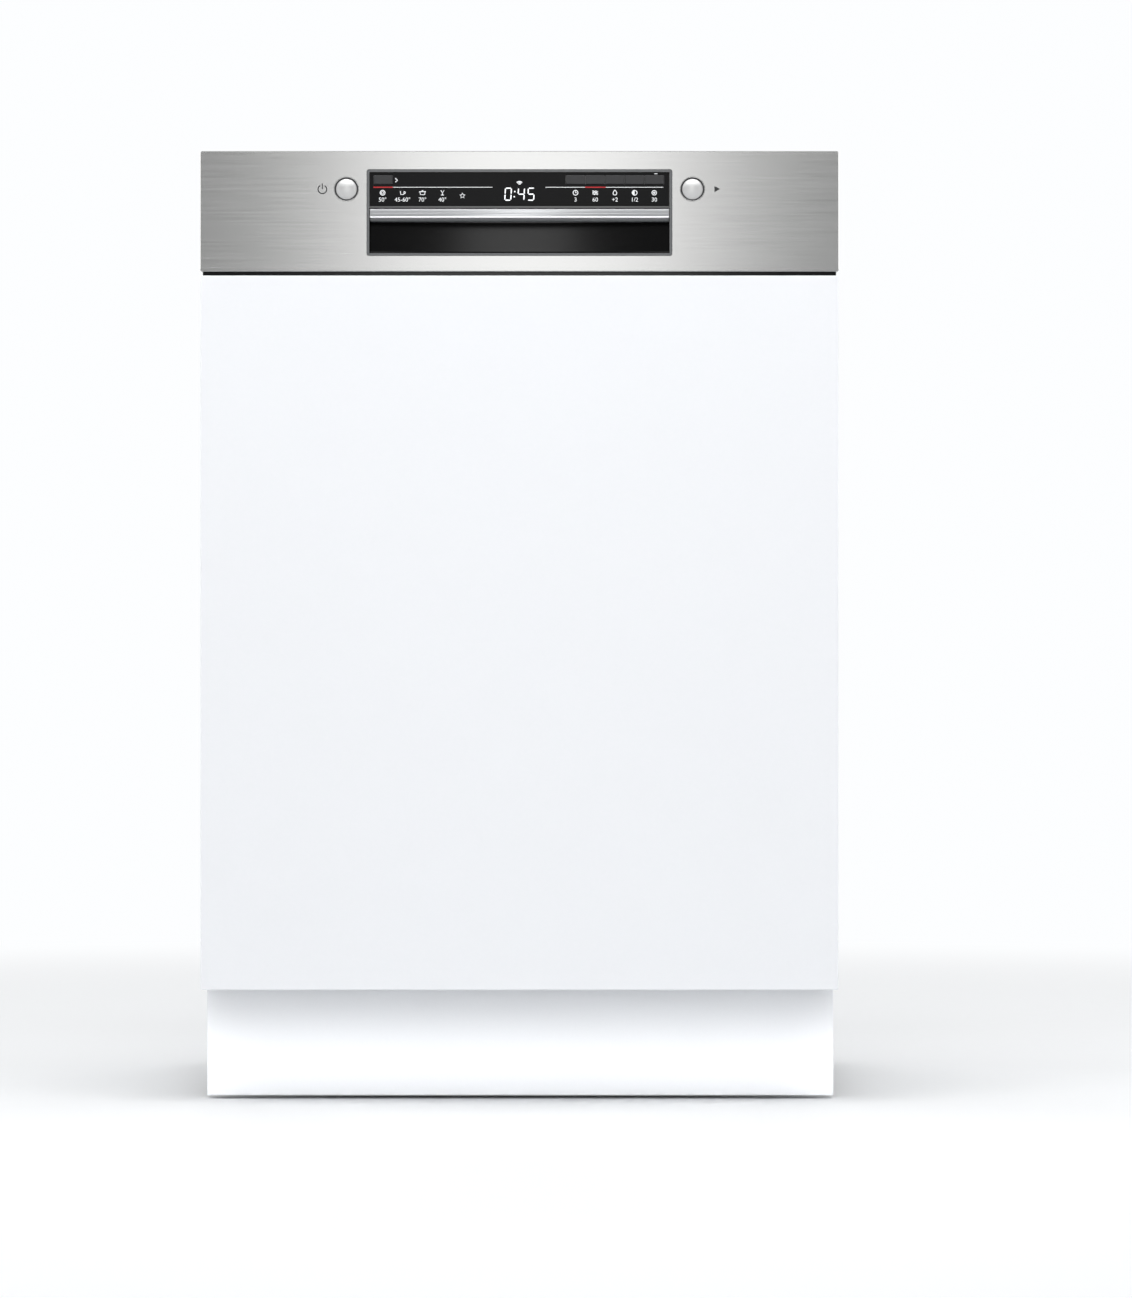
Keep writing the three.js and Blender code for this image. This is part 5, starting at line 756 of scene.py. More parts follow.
marks = [ribbon([(-116.1, 867.7), (-114.0, 865.9), (-116.1, 864.1)], 0.85)]
marks += [box2(x0, x1, 859.1, 859.6) for x0, x1 in ((-118.4, -25.2), (24.3, 61.4), (80.6, 134.5))]
rows = ((-127.9, 18.65, (("plate", "50°"), ("cup", "45-60°"), ("pot", "70°"), ("glass", "40°"))),
        (52.4, 18.4, (("clock", "3"), ("waves", "60"), ("drop", "+2"), ("half", "1/2"), ("ring", "30"))))
for start, pitch, row in rows:
    for k, (kind, number) in enumerate(row):
        x = start + pitch * k
        marks += pictogram(kind, x, SIGN_Z) + [typed(number, x, NUMBER_Z, NUMBER_SIZE)]
    if start < 0:
        marks += pictogram("star", -53.3, 851.4)
marks.append(box2(126.0, 129.0, 871.6, 872.3))
printed("glass_print", marks, GLASS, "white_print_with_painted_glow")
red = [box2(x0, x1, 858.8, 859.9) for x0, x1 in ((-136.4, -118.4), (61.4, 80.6))]
printed("glass_red_lines", red, GLASS, "red_print")


# %% [markdown]
# The clock has digits of seven bars each. A bar is a flat hexagon; the digit leans a little to the
# right, as such displays do.

# %% Seven-bar clock
BARS = {"0": "abcdef", "4": "fgbc", "5": "afgcd"}
CLOCK_Z, DIGIT_WIDE, DIGIT_TALL, BAR_WEIGHT, SLANT, GAP = 852.9, 5.6, 11.2, 1.15, 0.06, 0.25


def digit(figure, x, z):
    """Hexagons of the lit bars: an upright or level line with its ends cut to points; x grows by SLANT z."""
    w, t, g = DIGIT_WIDE / 2, DIGIT_TALL / 2, BAR_WEIGHT / 2
    lines = {"a": ((-w, t), (w, t)), "b": ((w, t), (w, 0)), "c": ((w, 0), (w, -t)),
             "d": ((-w, -t), (w, -t)),
             "e": ((-w, 0), (-w, -t)), "f": ((-w, t), (-w, 0)), "g": ((-w, 0), (w, 0))}
    shapes = []
    for bar_name in BARS[figure]:
        a, b = (np.array(p, float) for p in lines[bar_name])
        way = unit(b - a)
        side = np.array([-way[1], way[0]])
        a, b = a + way * GAP, b - way * GAP
        p = np.array([a, a + (way + side) * g, b + (side - way) * g, b, b - (way + side) * g,
                      a + (way - side) * g])
        p[:, 0] += SLANT * p[:, 1]
        shapes.append((p + (x, z), [list(range(6))]))
    return shapes


clock = digit("0", -10.6, CLOCK_Z) + digit("4", 1.6, CLOCK_Z) + digit("5", 10.8, CLOCK_Z)
clock += [(arc(-4.6 + 0.1 * s, CLOCK_Z + s, 0.7, steps=12), [list(range(12))]) for s in (-2.4, 2.4)]
clock += [ribbon(arc(0, 861.2, r, 45, 135, 9), 0.7) for r in (1.2, 2.4, 3.6)]
printed("glass_clock", clock, GLASS, "lit_print")

# %% [markdown]
# Two dark signs are printed on the steel: the standard power sign beside the left button, and a plain
# triangle beside the right one.

# %% Signs on the steel
power = [ribbon(arc(-184.1, 857.3, 4.0, -240, 60, 40), 1.05),
         ribbon([(-184.1, 857.5), (-184.1, 862.9)], 1.05)]
start_sign = [(np.array([(182.2, 854.6), (187.4, 857.5), (182.2, 860.4)]), [[0, 1, 2]])]
printed("steel_signs", power + start_sign, steel_y, "dark_print", slot="fascia_steel")

# %% [markdown]
# ## Wires
# The racks are bent from round wire. A wire is a tube round its path: in each point of the path a circle
# stands across it. Every path here lies close to one plane, so the circle needs only the plane's normal and
# the direction of the path. Corners are rounded first, because wire is bent over a pin and never folded.

# %% Wire, bends and prisms
def rounded(points, radius):
    """An open path, each corner cut off at `radius` and replaced by (1-t)^2 a + 2 t (1-t) corner + t^2 b."""
    p = [np.array(q, float) for q in points]
    out = [p[0][None]]
    for before, corner, after in zip(p, p[1:], p[2:]):
        a, b = corner + unit(before - corner) * radius, corner + unit(after - corner) * radius
        out.append(bend(a, corner, b, 6))
    return np.concatenate(out + [p[-1][None]])


def wire(path, plane, radius, sides=8, closed=False, soft=True):
    """Points p + r (cos a n + sin a t x n): t is the path's direction, n is `plane` turned square to t.
    Two thinner rings round a soft end."""
    p = np.asarray(path, float)
    r = np.full(len(p), radius)
    if soft and not closed:
        a, b = unit(p[1] - p[0]) * radius, unit(p[-2] - p[-1]) * radius
        p = np.concatenate([[p[0], p[0] + a * 0.35, p[0] + a], p[1:-1],
                            [p[-1] + b, p[-1] + b * 0.35, p[-1]]])
        thin = np.array([0.45, 0.85]) * radius
        r = np.concatenate([thin, np.full(len(p) - 4, radius), thin[::-1]])
    t = unit(np.gradient(p, axis=0) if not closed else np.roll(p, -1, 0) - np.roll(p, 1, 0))
    n = np.broadcast_to(np.asarray(plane, float), p.shape)
    n = unit(n - np.sum(n * t, 1, keepdims=True) * t)
    m = np.cross(t, n)
    a = np.linspace(0, FULL_TURN, sides, endpoint=False)[None, :, None]
    return skin(p[:, None] + r[:, None, None] * (np.cos(a) * n[:, None] + np.sin(a) * m[:, None]), closed)


def prism(points, axis, start, end, ease=0.0004, steps=2):
    """A flat outline carried along an axis, each point drawn in along its normal at the two rounded rims."""
    p = np.asarray(points, float)
    way = unit(np.roll(p, -1, 0) - np.roll(p, 1, 0))
    area = np.sum(p[:, 0] * np.roll(p[:, 1], -1) - p[:, 1] * np.roll(p[:, 0], -1))
    normal = np.stack([way[:, 1], -way[:, 0]], 1) * np.sign(area)
    return skin([set_out(axis, *(p - normal * inset).T, place)
                 for inset, place in rims(start, end, ease, steps)])


def bar_of(a, b, axis="z", corner=0.0006, ease=0.0004):
    """A box from corner a to corner b with soft edges: a rounded rectangle carried along `axis`."""
    i, j, k = {"x": (1, 2, 0), "y": (0, 2, 1), "z": (0, 1, 2)}[axis]
    return prism(outline(a[i], b[i], a[j], b[j], corner, 3), axis, a[k], b[k], ease)


def both_sides(side, near, far):
    """The two distances from the middle as x on one side, the smaller x first."""
    return sorted((side * near, side * far))


print("wires, prisms and bars ready")

# %% [markdown]
# ## The two racks
# A rack is an open basket: wires bent up at both ends run across and along, and closed loops go round the
# outside at two heights. On the floor stand rows of tines, which hold the plates upright.

# %% Rack basket
THIN, STOUT, LAYER, WELD = 1.55 * mm, 1.9 * mm, 3.4 * mm, 0.3 * mm
ROW_Z = LAYER + THIN + STOUT - WELD
WIRE_MARGIN, LOOP_CORNER, WIRE_BEND = 30 * mm, 15 * mm, 9 * mm
ACROSS, ALONG = 7, 6


def tine_row(origin, left, right, start, pitch, height):
    """A level rod and, at even steps from `start`, upright tines with round tips."""
    shapes = [wire([origin + (left, 0, 0), origin + (right, 0, 0)], (0, 0, 1), STOUT)]
    last = left if pitch < 0 else right
    for x in np.arange(start, last + np.sign(pitch) * mm, pitch):
        shapes.append(wire([origin + (x, 0, 0), origin + (x, 0, height)], (0, 1, 0), THIN))
    return shapes


def rack(node, rim, half_x, middle_loop, rows, ends, first_tine, pitch, tall):
    """Loops round the outside, evenly spaced wires bent up inside them, and fixed rows of tines; with these
    shapes come the middle of the basket's floor, half its depth and the largest x of the node."""
    a, b = corners(node)
    half_y = (b[1] - a[1]) / 2
    origin = np.array([0, (a[1] + b[1]) / 2, b[2] - rim])
    inset = 3 * THIN - WELD
    in_x, in_y, top = half_x - inset, half_y - inset, rim - 0.1 * mm
    shapes = []
    for z in (rim - 2.2 * mm, middle_loop):
        flat = outline(THIN - half_x, half_x - THIN, origin[1] - half_y + THIN, origin[1] + half_y - THIN,
                       LOOP_CORNER, 8)
        shapes.append(wire(set_out("z", *flat.T, origin[2] + z), (0, 0, 1), THIN, closed=True))
    for x in np.linspace(WIRE_MARGIN - in_x, in_x - WIRE_MARGIN, ACROSS):
        path = np.array([(x, -in_y, top), (x, -in_y, LAYER), (x, in_y, LAYER), (x, in_y, top)])
        shapes.append(wire(rounded(path + origin, WIRE_BEND), (1, 0, 0), THIN))
    for y in np.linspace(WIRE_MARGIN - in_y, in_y - WIRE_MARGIN, ALONG):
        path = np.array([(-in_x, y, top), (-in_x, y, 0), (in_x, y, 0), (in_x, y, top)])
        shapes.append(wire(rounded(path + origin, WIRE_BEND), (0, 1, 0), THIN))
    for y in rows:
        shapes += tine_row(origin + (0, y, ROW_Z), *ends, first_tine, pitch, tall - ROW_Z)
    return shapes, origin, half_y, b[0]


print("wires of a rack:", ACROSS, "across and", ALONG, "along")

# %% Lower rack
shapes, origin, half_y, widest = rack("lower_rack", 106 * mm, 245 * mm, 53 * mm, (33 * mm, 123 * mm),
                                      (-230 * mm, 114 * mm), 108 * mm, -42 * mm, 75 * mm)
wheel_low, wheel_high = corners("rack_wheel_front_left")
axle_z = (wheel_low[2] + wheel_high[2]) / 2
WHEELS = ("front_left", "front_right", "rear_left", "rear_right")
for name in WHEELS:
    a, b = corners("rack_wheel_" + name)
    side, y = np.sign(a[0]), (a[1] + b[1]) / 2
    cheek = outline(y - 20 * mm, y + 20 * mm, axle_z - 8 * mm, origin[2] + 20 * mm, 6 * mm, 6)
    shapes.append(prism(cheek, "x", *both_sides(side, 235 * mm, 247 * mm), 0.8 * mm))
    ends = [(side * 236 * mm, y, axle_z), (side * (widest - 0.01 * mm), y, axle_z)]
    shapes.append(wire(ends, (0, 0, 1), 2.95 * mm, 12))
put("lower_rack_wires", shapes, "lower_rack", "coated_wire")

# %% Folding rows of the lower rack
for node in ("lower_tines_front", "lower_tines_back"):
    a, b = corners(node)
    pivot = np.array([0, (a[1] + b[1]) / 2, a[2] + STOUT])
    rows = tine_row(pivot, a[0], b[0], a[0] + 8 * mm, 42 * mm, b[2] - pivot[2])
    put(node + "_wires", rows, node, "coated_wire")

# %% Upper rack
RUNNER, GRIP, RUNNER_Z, WEB = 190 * mm, 9.2 * mm, 22 * mm, 3 * mm
shapes, origin, half_y, widest = rack("upper_rack", 115 * mm, 240 * mm, 55 * mm, (-120 * mm, 120 * mm),
                                      (-220 * mm, 220 * mm), 208 * mm, -62 * mm, 45 * mm)
for side in (-1, 1):
    for near, far, tall, corner, steps, ease in (
            (259.5 * mm, widest - 0.01 * mm, GRIP, 1.5 * mm, 4, 2 * mm),
            (232 * mm, 260.5 * mm, WEB, 1 * mm, 3, 1 * mm)):
        z = origin[2] + RUNNER_Z
        flat = outline(*both_sides(side, near, far), z - tall, z + tall, corner, steps)
        shapes.append(prism(flat, "y", origin[1] - RUNNER, origin[1] + RUNNER, ease))
HUB, DUCT = np.array([0, -2 * mm, 0]) + origin, -6.5 * mm
shapes.append(wire([HUB + (0, 0, DUCT), origin + (0, half_y, DUCT)], (0, 0, 1), 8 * mm, 24, soft=False))
boss = [(0.01, -14.7), (18.5, -14.7), (20, -13.2), (20, 0.5), (18.5, 2), (0.01, 2)]
pin = [(0.01, -29), (5, -29), (5.95, -28), (5.95, -14), (0.01, -14)]
shapes += [lathe(np.array(boss) * mm, HUB), lathe(np.array(pin) * mm, HUB, sides=20)]
put("upper_rack_wires", shapes, "upper_rack", "coated_wire")

# %% Cup shelf
a, b = corners("cup_shelf")
shelf_x, thick, SHELF_BARS = (a[0] + b[0]) / 2, 1.5 * mm, 26
flat = outline(a[1], b[1], a[2] + 2.5 * mm, b[2], 12 * mm, 8)
loop = set_out("x", *flat.T, shelf_x)
shapes = [wire(loop + (loop.mean(0) - loop) * (0, 0.012, 0.022), (1, 0, 0), 1.9 * mm, closed=True)]
shapes.append(wire([(shelf_x, a[1], a[2] + 2.5 * mm), (shelf_x, b[1], a[2] + 2.5 * mm)], (0, 0, 1),
                   2.45 * mm, 12))
for z in (a[2] + 9 * mm, b[2] - 7 * mm):
    shapes.append(bar_of((shelf_x - thick, a[1] + 3 * mm, z - 6.5 * mm),
                         (shelf_x + thick, b[1] - 3 * mm, z + 6.5 * mm), "y"))
length = b[1] - a[1]
for y in np.linspace(a[1] + 4 * mm, b[1] - 4 * mm, SHELF_BARS):
    wide = 4 * mm if abs((y - a[1]) / length * 5 % 1 - 0.5) > 0.42 else 1 * mm
    shapes.append(bar_of((shelf_x - thick * 0.8, y - wide / 2, a[2] + 6 * mm),
                         (shelf_x + thick * 0.8, y + wide / 2, b[2] - 4 * mm)))
put("cup_shelf_bars", shapes, "cup_shelf", "white_plastic")

# %% [markdown]
# ## Cutlery basket
# The basket is moulded: a flat floor, walls of thin upright bars between a deep band at the foot and
# another at the rim, partitions between the cells, and an arched handle over the middle.

# %% Basket
a, b = corners("cutlery_basket")
HANDLE, WALL_T, FOOT, BAND = 76 * mm, 2 * mm, 16 * mm, 14 * mm
top = b[2] - HANDLE
shapes = [bar_of(a, (b[0], b[1], a[2] + WALL_T), corner=8 * mm)]
for low_z, high_z in ((a[2] + 0.5 * mm, a[2] + FOOT), (top - BAND, top)):
    rings = []
    for d, z in ((0, low_z), (WALL_T, low_z), (WALL_T, high_z), (0, high_z)):
        flat = outline(a[0] + d, b[0] - d, a[1] + d, b[1] - d, 8 * mm - d, 5)
        rings.append(set_out("z", *flat.T, z))
    shapes.append(skin(rings, ring=True))
LOW_BAR, HIGH_BAR, BAR_HALF, SKIN_IN, SKIN_OUT = a[2] + 4 * mm, top - 4 * mm, 0.9 * mm, 0.2 * mm, 1.8 * mm
for y in np.arange(a[1] + 10 * mm, b[1] - 9 * mm, 6.3 * mm):
    for x in (a[0], b[0] - WALL_T):
        shapes.append(bar_of((x + SKIN_IN, y - BAR_HALF, LOW_BAR), (x + SKIN_OUT, y + BAR_HALF, HIGH_BAR)))
for x in np.arange(a[0] + 10 * mm, b[0] - 9 * mm, 6.2 * mm):
    for y in (a[1], b[1] - WALL_T):
        shapes.append(bar_of((x - BAR_HALF, y + SKIN_IN, LOW_BAR), (x + BAR_HALF, y + SKIN_OUT, HIGH_BAR)))
middle, cell_y = (a[0] + b[0]) / 2, (b[1] - a[1] - 5 * WALL_T) / 4
inner_low, inner_high = a + mm, (b[0] - 1 * mm, b[1] - 1 * mm, top - 0.4 * mm)
shapes.append(bar_of((middle - WALL_T / 2, inner_low[1], inner_low[2]),
                     (middle + WALL_T / 2, *inner_high[1:])))
for k in range(1, 4):
    y = a[1] + k * (cell_y + WALL_T) + WALL_T / 2
    shapes.append(bar_of((inner_low[0], y - WALL_T / 2, inner_low[2]),
                         (inner_high[0], y + WALL_T / 2, inner_high[2])))
foot = top - 6 * mm
arch_line = np.concatenate([
    arc(b[1] - 42 * mm, top + 62 * mm, 14 * mm, 0, 90, 8),
    arc(a[1] + 42 * mm, top + 62 * mm, 14 * mm, 90, 180, 8),
    [[a[1] + 20 * mm, foot], [a[1] + 30 * mm, foot]],
    arc(a[1] + 45 * mm, top + 58 * mm, 8 * mm, 180, 90, 8),
    arc(b[1] - 45 * mm, top + 58 * mm, 8 * mm, 90, 0, 8),
    [[b[1] - 30 * mm, foot], [b[1] - 20 * mm, foot]]])
shapes.append(prism(arch_line, "x", middle - 4 * mm, middle + 4 * mm, 1 * mm))
put("cutlery_basket_moulding", shapes, "cutlery_basket", "grey_plastic")


# %% [markdown]
# ## Wheels, feet and springs
# A rack wheel is moulded with a thick tread, a thin web and six ribs. A levelling foot is a pad on a screw:
# its surface is a function of height and angle, where the radius falls and rises once per pitch and the
# whole pattern climbs as it goes round. A door spring is one wire, wound close, with an eye at each end.

# %% Rack wheels
RIBS = 6
for name in WHEELS:
    node = "rack_wheel_" + name
    a, b = corners(node)
    centre, w, r = (a + b) / 2, (b[0] - a[0]) / 2, (b[2] - a[2]) / 2
    half = [(3.4 * mm, w), (6.4 * mm, w), (7.2 * mm, w - 0.7 * mm), (7.6 * mm, 1.2 * mm),
            (r - 4.8 * mm, 1.2 * mm), (r - 4.2 * mm, w - 0.4 * mm), (r - 3.6 * mm, w), (r - 1.2 * mm, w),
            (r - 0.3 * mm, w - 0.5 * mm), (r, w - 1.5 * mm)]
    shapes = [lathe([(q, -h) for q, h in half] + half[::-1], centre, "x", 48, ring=True)]
    for k in range(RIBS):
        turn_by = k * FULL_TURN / RIBS
        along = np.array([math.cos(turn_by), math.sin(turn_by)])
        side = np.array([-along[1], along[0]])
        rib = [along * q + side * t
               for q, t in ((6 * mm, -mm), (r - 4 * mm, -mm), (r - 4 * mm, mm), (6 * mm, mm))]
        shapes.append(prism(np.array(rib) + centre[1:], "x", centre[0] - w + 0.5 * mm,
                            centre[0] + w - 0.5 * mm))
    put(node + "_moulding", shapes, node, "grey_plastic")


# %% Levelling feet
PITCH, DEPTH, SCREW = 3 * mm, 1 * mm, 9.6 * mm
FOOT_SIDES, SCALLOPS = 64, 16
a = np.linspace(0, FULL_TURN, FOOT_SIDES, endpoint=False)
for node in ("foot_front_left", "foot_front_right", "foot_rear"):
    # radius at height z and angle a: the pad's profile, then SCREW - DEPTH |2 frac(z / PITCH - a / 2 pi) - 1|
    start, end = corners(node)
    height, pad, stem = end[2] - start[2], (end[0] - start[0]) / 2 / mm, SCREW / mm
    body = np.array([(0.01, 0), (pad - 1.6, 0), (pad, 1.6), (pad, 6.4), (pad - 1.2, 7.6), (stem + 5, 8.2),
                     (stem + 2, 9), (stem - 0.6, 10.5)]) * mm
    z = np.arange(body[-1, 1] + PITCH / 8, height - 1.5 * mm, PITCH / 8)
    wave = np.abs(2 * ((z[:, None] / PITCH - a / FULL_TURN) % 1) - 1)
    tip = np.array([SCREW - 1.5 * mm, 0.01 * mm])[:, None] + 0 * a
    radius = np.concatenate([body[:, :1] + 0 * a, SCREW - DEPTH * wave, tip])
    radius[2:4] -= 0.9 * mm * (1 + np.cos(SCALLOPS * a)) / 2
    level = np.concatenate([body[:, 1], z, [height, height]])[:, None]
    rings = set_out("z", radius * np.cos(a), radius * np.sin(a), level) + underside(start, end)
    foot = stacked(node + "_screw", rings, 50)
    dress(foot, node, "base_black", node)

# %% Door springs
COIL, WIRE, EYE, TURNS, INTO_LEVER = 4.6 * mm, 1.05 * mm, 2.9 * mm, 52, 4.6 * mm
EYE_POINTS, TURN_POINTS, STRAIGHT = 20, 14, 0.12
for node in ("door_spring_left", "door_spring_right"):
    a, b = corners(node)
    x = (a[0] + b[0]) / 2
    front = np.array([x, a[1] + EYE + WIRE, b[2] - INTO_LEVER])
    rear = np.array([x, b[1] - EYE - WIRE, a[2] + INTO_LEVER])
    axis = unit(rear - front)
    t = np.linspace(0, 1, TURNS * TURN_POINTS)[:, None]
    turned_by = FULL_TURN * TURNS * np.clip((t - STRAIGHT) / (1 - 2 * STRAIGHT), 0, 1)
    out = np.array([1.0, 0, 0]) * np.cos(turned_by) + np.cross(axis, (1, 0, 0)) * np.sin(turned_by)
    reach = COIL * np.clip(np.minimum(9 * t, 9 * (1 - t)), 0.02, 1)
    path = front + axis * EYE + (rear - front - 2 * axis * EYE) * t + out * reach
    shapes = [wire(path, out, WIRE, 6, soft=False)]
    for place in (front, rear):
        eye_ring = set_out("x", *arc(place[1], place[2], EYE, steps=EYE_POINTS).T, x)
        shapes.append(wire(eye_ring, (1, 0, 0), WIRE, 6, closed=True))
    spring = dress(assemble(node + "_coil", shapes), None, "spring_steel", node)
    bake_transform(spring)

# %% [markdown]
# ## Spray arms
# Each arm is a flat blade swept back at both ends, with a half-round water channel along it and nozzles on
# the channel. The outline of one blade is two curves and a half circle; the second blade is the same,
# turned by half a turn. The rims are rounded so that water runs off.

# %% Spray arms
SWEEP, ROOT, TIP = 26 * mm, 27 * mm, 17 * mm
HUB_RING = [(6.6, 0.2), (27, 0.2), (29.4, 1.6), (30, 4), (30, 8), (28.6, 10), (25, 10.6), (16, 10.8),
            (14.6, 11.9), (6.6, 11.9)]
NOZZLE = [(0.01, -0.4), (1.1, -0.4), (1.6, 0.5), (3.2, 0.5), (3.8, -0.2), (4, -2), (0.01, -2)]
for node in ("lower_spray_arm", "upper_spray_arm"):
    a, b = corners(node)
    centre, reach = np.array([0, (a[1] + b[1]) / 2, a[2]]), b[0]
    blade = np.concatenate([
        bend((0, -ROOT), (reach * 0.55, SWEEP - ROOT), (reach - TIP, SWEEP - TIP), 20)[2:],
        arc(reach - TIP, SWEEP, TIP, -90, 90, 14)[1:-1],
        bend((reach - TIP, SWEEP + TIP), (reach * 0.45, ROOT + SWEEP * 0.7), (0, ROOT), 20)[:-2],
    ])
    flat = np.concatenate([blade, -blade]) + centre[:2]
    shapes = [prism(flat, "z", centre[2], centre[2] + (b[2] - a[2]) - 2.5 * mm, 2.2 * mm, 5)]
    shapes.append(lathe(np.array(HUB_RING) * mm, centre, "z", 56, ring=True))
    for way in (1, -1):
        ends = np.array([[20 * mm, 5 * mm], [reach - 24 * mm, SWEEP]]) * way + centre[:2]
        path = set_out("z", *ends.T, centre[2] + 8 * mm)
        shapes.append(wire(path, (0, 0, 1), 3.3 * mm, 16))
        for share in (0.2, 0.42, 0.66, 0.93):
            at = path[0] + (path[1] - path[0]) * share + (0, 0, 3 * mm)
            shapes.append(lathe(np.array(NOZZLE) * mm, at, "z", 20))
    put(node + "_blades", shapes, node, "grey_plastic")

# %% [markdown]
# ## Salt cap and filter
# Both are turned by hand, so both have something to hold: the cap has scallops round its rim and a bar
# across, the filter cup has an arched handle. The steel plate round the cup is a sieve with fine holes, drawn
# in its finish as a square grid of near-black dots, painted shade where the holes would show the dark below:
# a dot is where sin(kx) sin(ky) is above a threshold.

# %% Salt cap
a, b = corners("salt_cap")
centre, r = underside(a, b), (b[0] - a[0]) / 2 / mm
profile = [(0.01, 0), (28.4, 0), (29, 0.6), (29, 10.4), (r - 1, 10.4), (r, 11.2), (r, 13.6), (r - 1, 14.8),
           (30.5, 16), (26.4, 16), (25, 14.8), (24.6, 4.2), (0.01, 4)]
shapes = [lathe(np.array(profile) * mm, centre, "z", 96, ribs=1.3 * mm, count=16)]
shapes.append(bar_of(centre + (-3 * mm, -26 * mm, 3 * mm), centre + (3 * mm, 26 * mm, b[2] - a[2]), "y",
                     1.6 * mm, mm))
put("salt_cap_moulding", shapes, "salt_cap", "white_plastic")

# %% Filter cup
CUP_BARS = 24
a, b = corners("filter_cylinder")
centre, r = underside(a, b), (b[0] - a[0]) / 2 / mm
top = (b[2] - a[2]) / mm - 18
profile = [(0.01, 0), (r - 9, 0), (r - 8, 1), (r - 8, top), (r - 0.6, top), (r, top + 0.7),
           (r - 0.6, top + 2), (r - 9.4, top + 2), (r - 10, top + 1.4), (r - 10, 2.5), (r - 10.5, 2),
           (0.01, 2)]
shapes = [lathe(np.array(profile) * mm, centre, "z", 72)]
for k in range(CUP_BARS):
    turn_by = FULL_TURN * k / CUP_BARS
    x, y = (r - 10.6) * mm * math.cos(turn_by), (r - 10.6) * mm * math.sin(turn_by)
    shapes.append(bar_of(centre + (x - mm / 2, y - mm / 2, 2 * mm),
                         centre + (x + mm / 2, y + mm / 2, top * mm)))
w = r - 4.2
handle = np.concatenate([
    arc(w - 7, top + 10.9, 7, 0, 90, 6), arc(7 - w, top + 10.9, 7, 90, 180, 6),
    [[-w, top + 1], [-20, top + 1]],
    arc(4 - 20, top + 7, 4, 180, 90, 5), arc(20 - 4, top + 7, 4, 90, 0, 5),
    [[20, top + 1], [w, top + 1]]]) * mm
shapes.append(prism(handle + (centre[0], centre[2]), "y", centre[1] - 2.5 * mm, centre[1] + 2.5 * mm,
                    0.8 * mm))
put("filter_cup", shapes, "filter_cylinder", "grey_plastic")

# %% Sieve finish
HOLE_STEP, HOLE_EDGE, HOLE_SHADE_BLACK = 0.0032, 0.35, (0.01, 0.01, 0.011, 1)
sieve = finish("sieve_steel", (186, 188, 190), (208, 210, 211), (0.3, 0.4), 0.9, scale=200, bump=0.02)
tree = sieve.node_tree
link, shader = tree.links.new, tree.nodes["Principled BSDF"]
grid, axes = add(tree, "Mapping", Scale=(FULL_TURN / HOLE_STEP,) * 3), add(tree, "SeparateXYZ")
link(tree.nodes["Texture Coordinate"].outputs["Object"], grid.inputs["Vector"])
link(grid.outputs["Vector"], axes.inputs["Vector"])
swings = []
for axis_name in "XY":
    swing = add(tree, "Math", {"operation": "SINE"})
    link(axes.outputs[axis_name], swing.inputs[0])
    swings.append(swing.outputs["Value"])
hole = add(tree, "Math", {"operation": "GREATER_THAN"})
hole.inputs[1].default_value = HOLE_EDGE
link(either(tree, *swings, "MULTIPLY"), hole.inputs[0])
# near-black dots: painted shade seen through the holes
dots = add(tree, "Mix", {"data_type": "RGBA"}, B=HOLE_SHADE_BLACK)
link(hole.outputs["Value"], dots.inputs["Factor"])
link(shader.inputs["Base Color"].links[0].from_socket, dots.inputs["A"])
link(dots.outputs["Result"], shader.inputs["Base Color"])
nodes["filter_plate"].material_slots[0].material = sieve
print("sieve on", "filter_plate")

# %% [markdown]
# ## Door seal
# The seal is extruded rubber: a soft bulb that the door presses on, a neck, and a root with barbs that
# holds it in its channel. Its section is given as distance in from the outer edge and depth, and is carried
# up one side of the opening, over the top and down the other side.

# %% Rubber profile round the opening
BULB, SEAL_CORNER = 5.4 * mm, 41 * mm
a, b = corners("door_gasket")
bulb = np.radians(np.linspace(122, 418, 22))
section = np.concatenate([
    np.stack([BULB * (1 + np.cos(bulb)), a[1] + 5.6 * mm + BULB * np.sin(bulb)], 1),
    np.array([(8.4, 11.4), (11.4, 12.2), (11.4, 13.2), (10.2, 14), (11.4, 15), (11.4, 16), (10.2, 17),
              (10.8, 18.3), (1.2, 18.3), (1.8, 17), (0.6, 16), (0.6, 15), (1.8, 14), (0.6, 13.2),
              (0.6, 12.2), (2.4, 11.4)]) * mm + (0, a[1]),
])
rings = []
for inset, y in section:
    half, top, corner = b[0] - inset, b[2] - inset, SEAL_CORNER - inset
    way = np.concatenate([[[-half, a[2]]], arc(corner - half, top - corner, corner, 180, 90, 12),
                          arc(half - corner, top - corner, corner, 90, 0, 12), [[half, a[2]]]])
    rings.append(set_out("y", *way.T, y))
dress(stacked("door_seal", np.array(rings).transpose(1, 0, 2), 50), "cabinet", "seal_rubber", "door_gasket")

# %% [markdown]
# ## Screws
# A screw head is a shallow dome with a cross sunk into it. Its height over the plane is 0.45 of the rise,
# plus 0.55 of it times 1 - (r / R)^2, less half the rise wherever a point lies in the cross.

# %% Screw heads
SCREW_SIDES = 32
SCREW_RINGS = np.array([0.02, 0.12, 0.2, 0.3, 0.42, 0.5, 0.62, 0.8, 0.92, 1, 1, 0.02])[:, None]


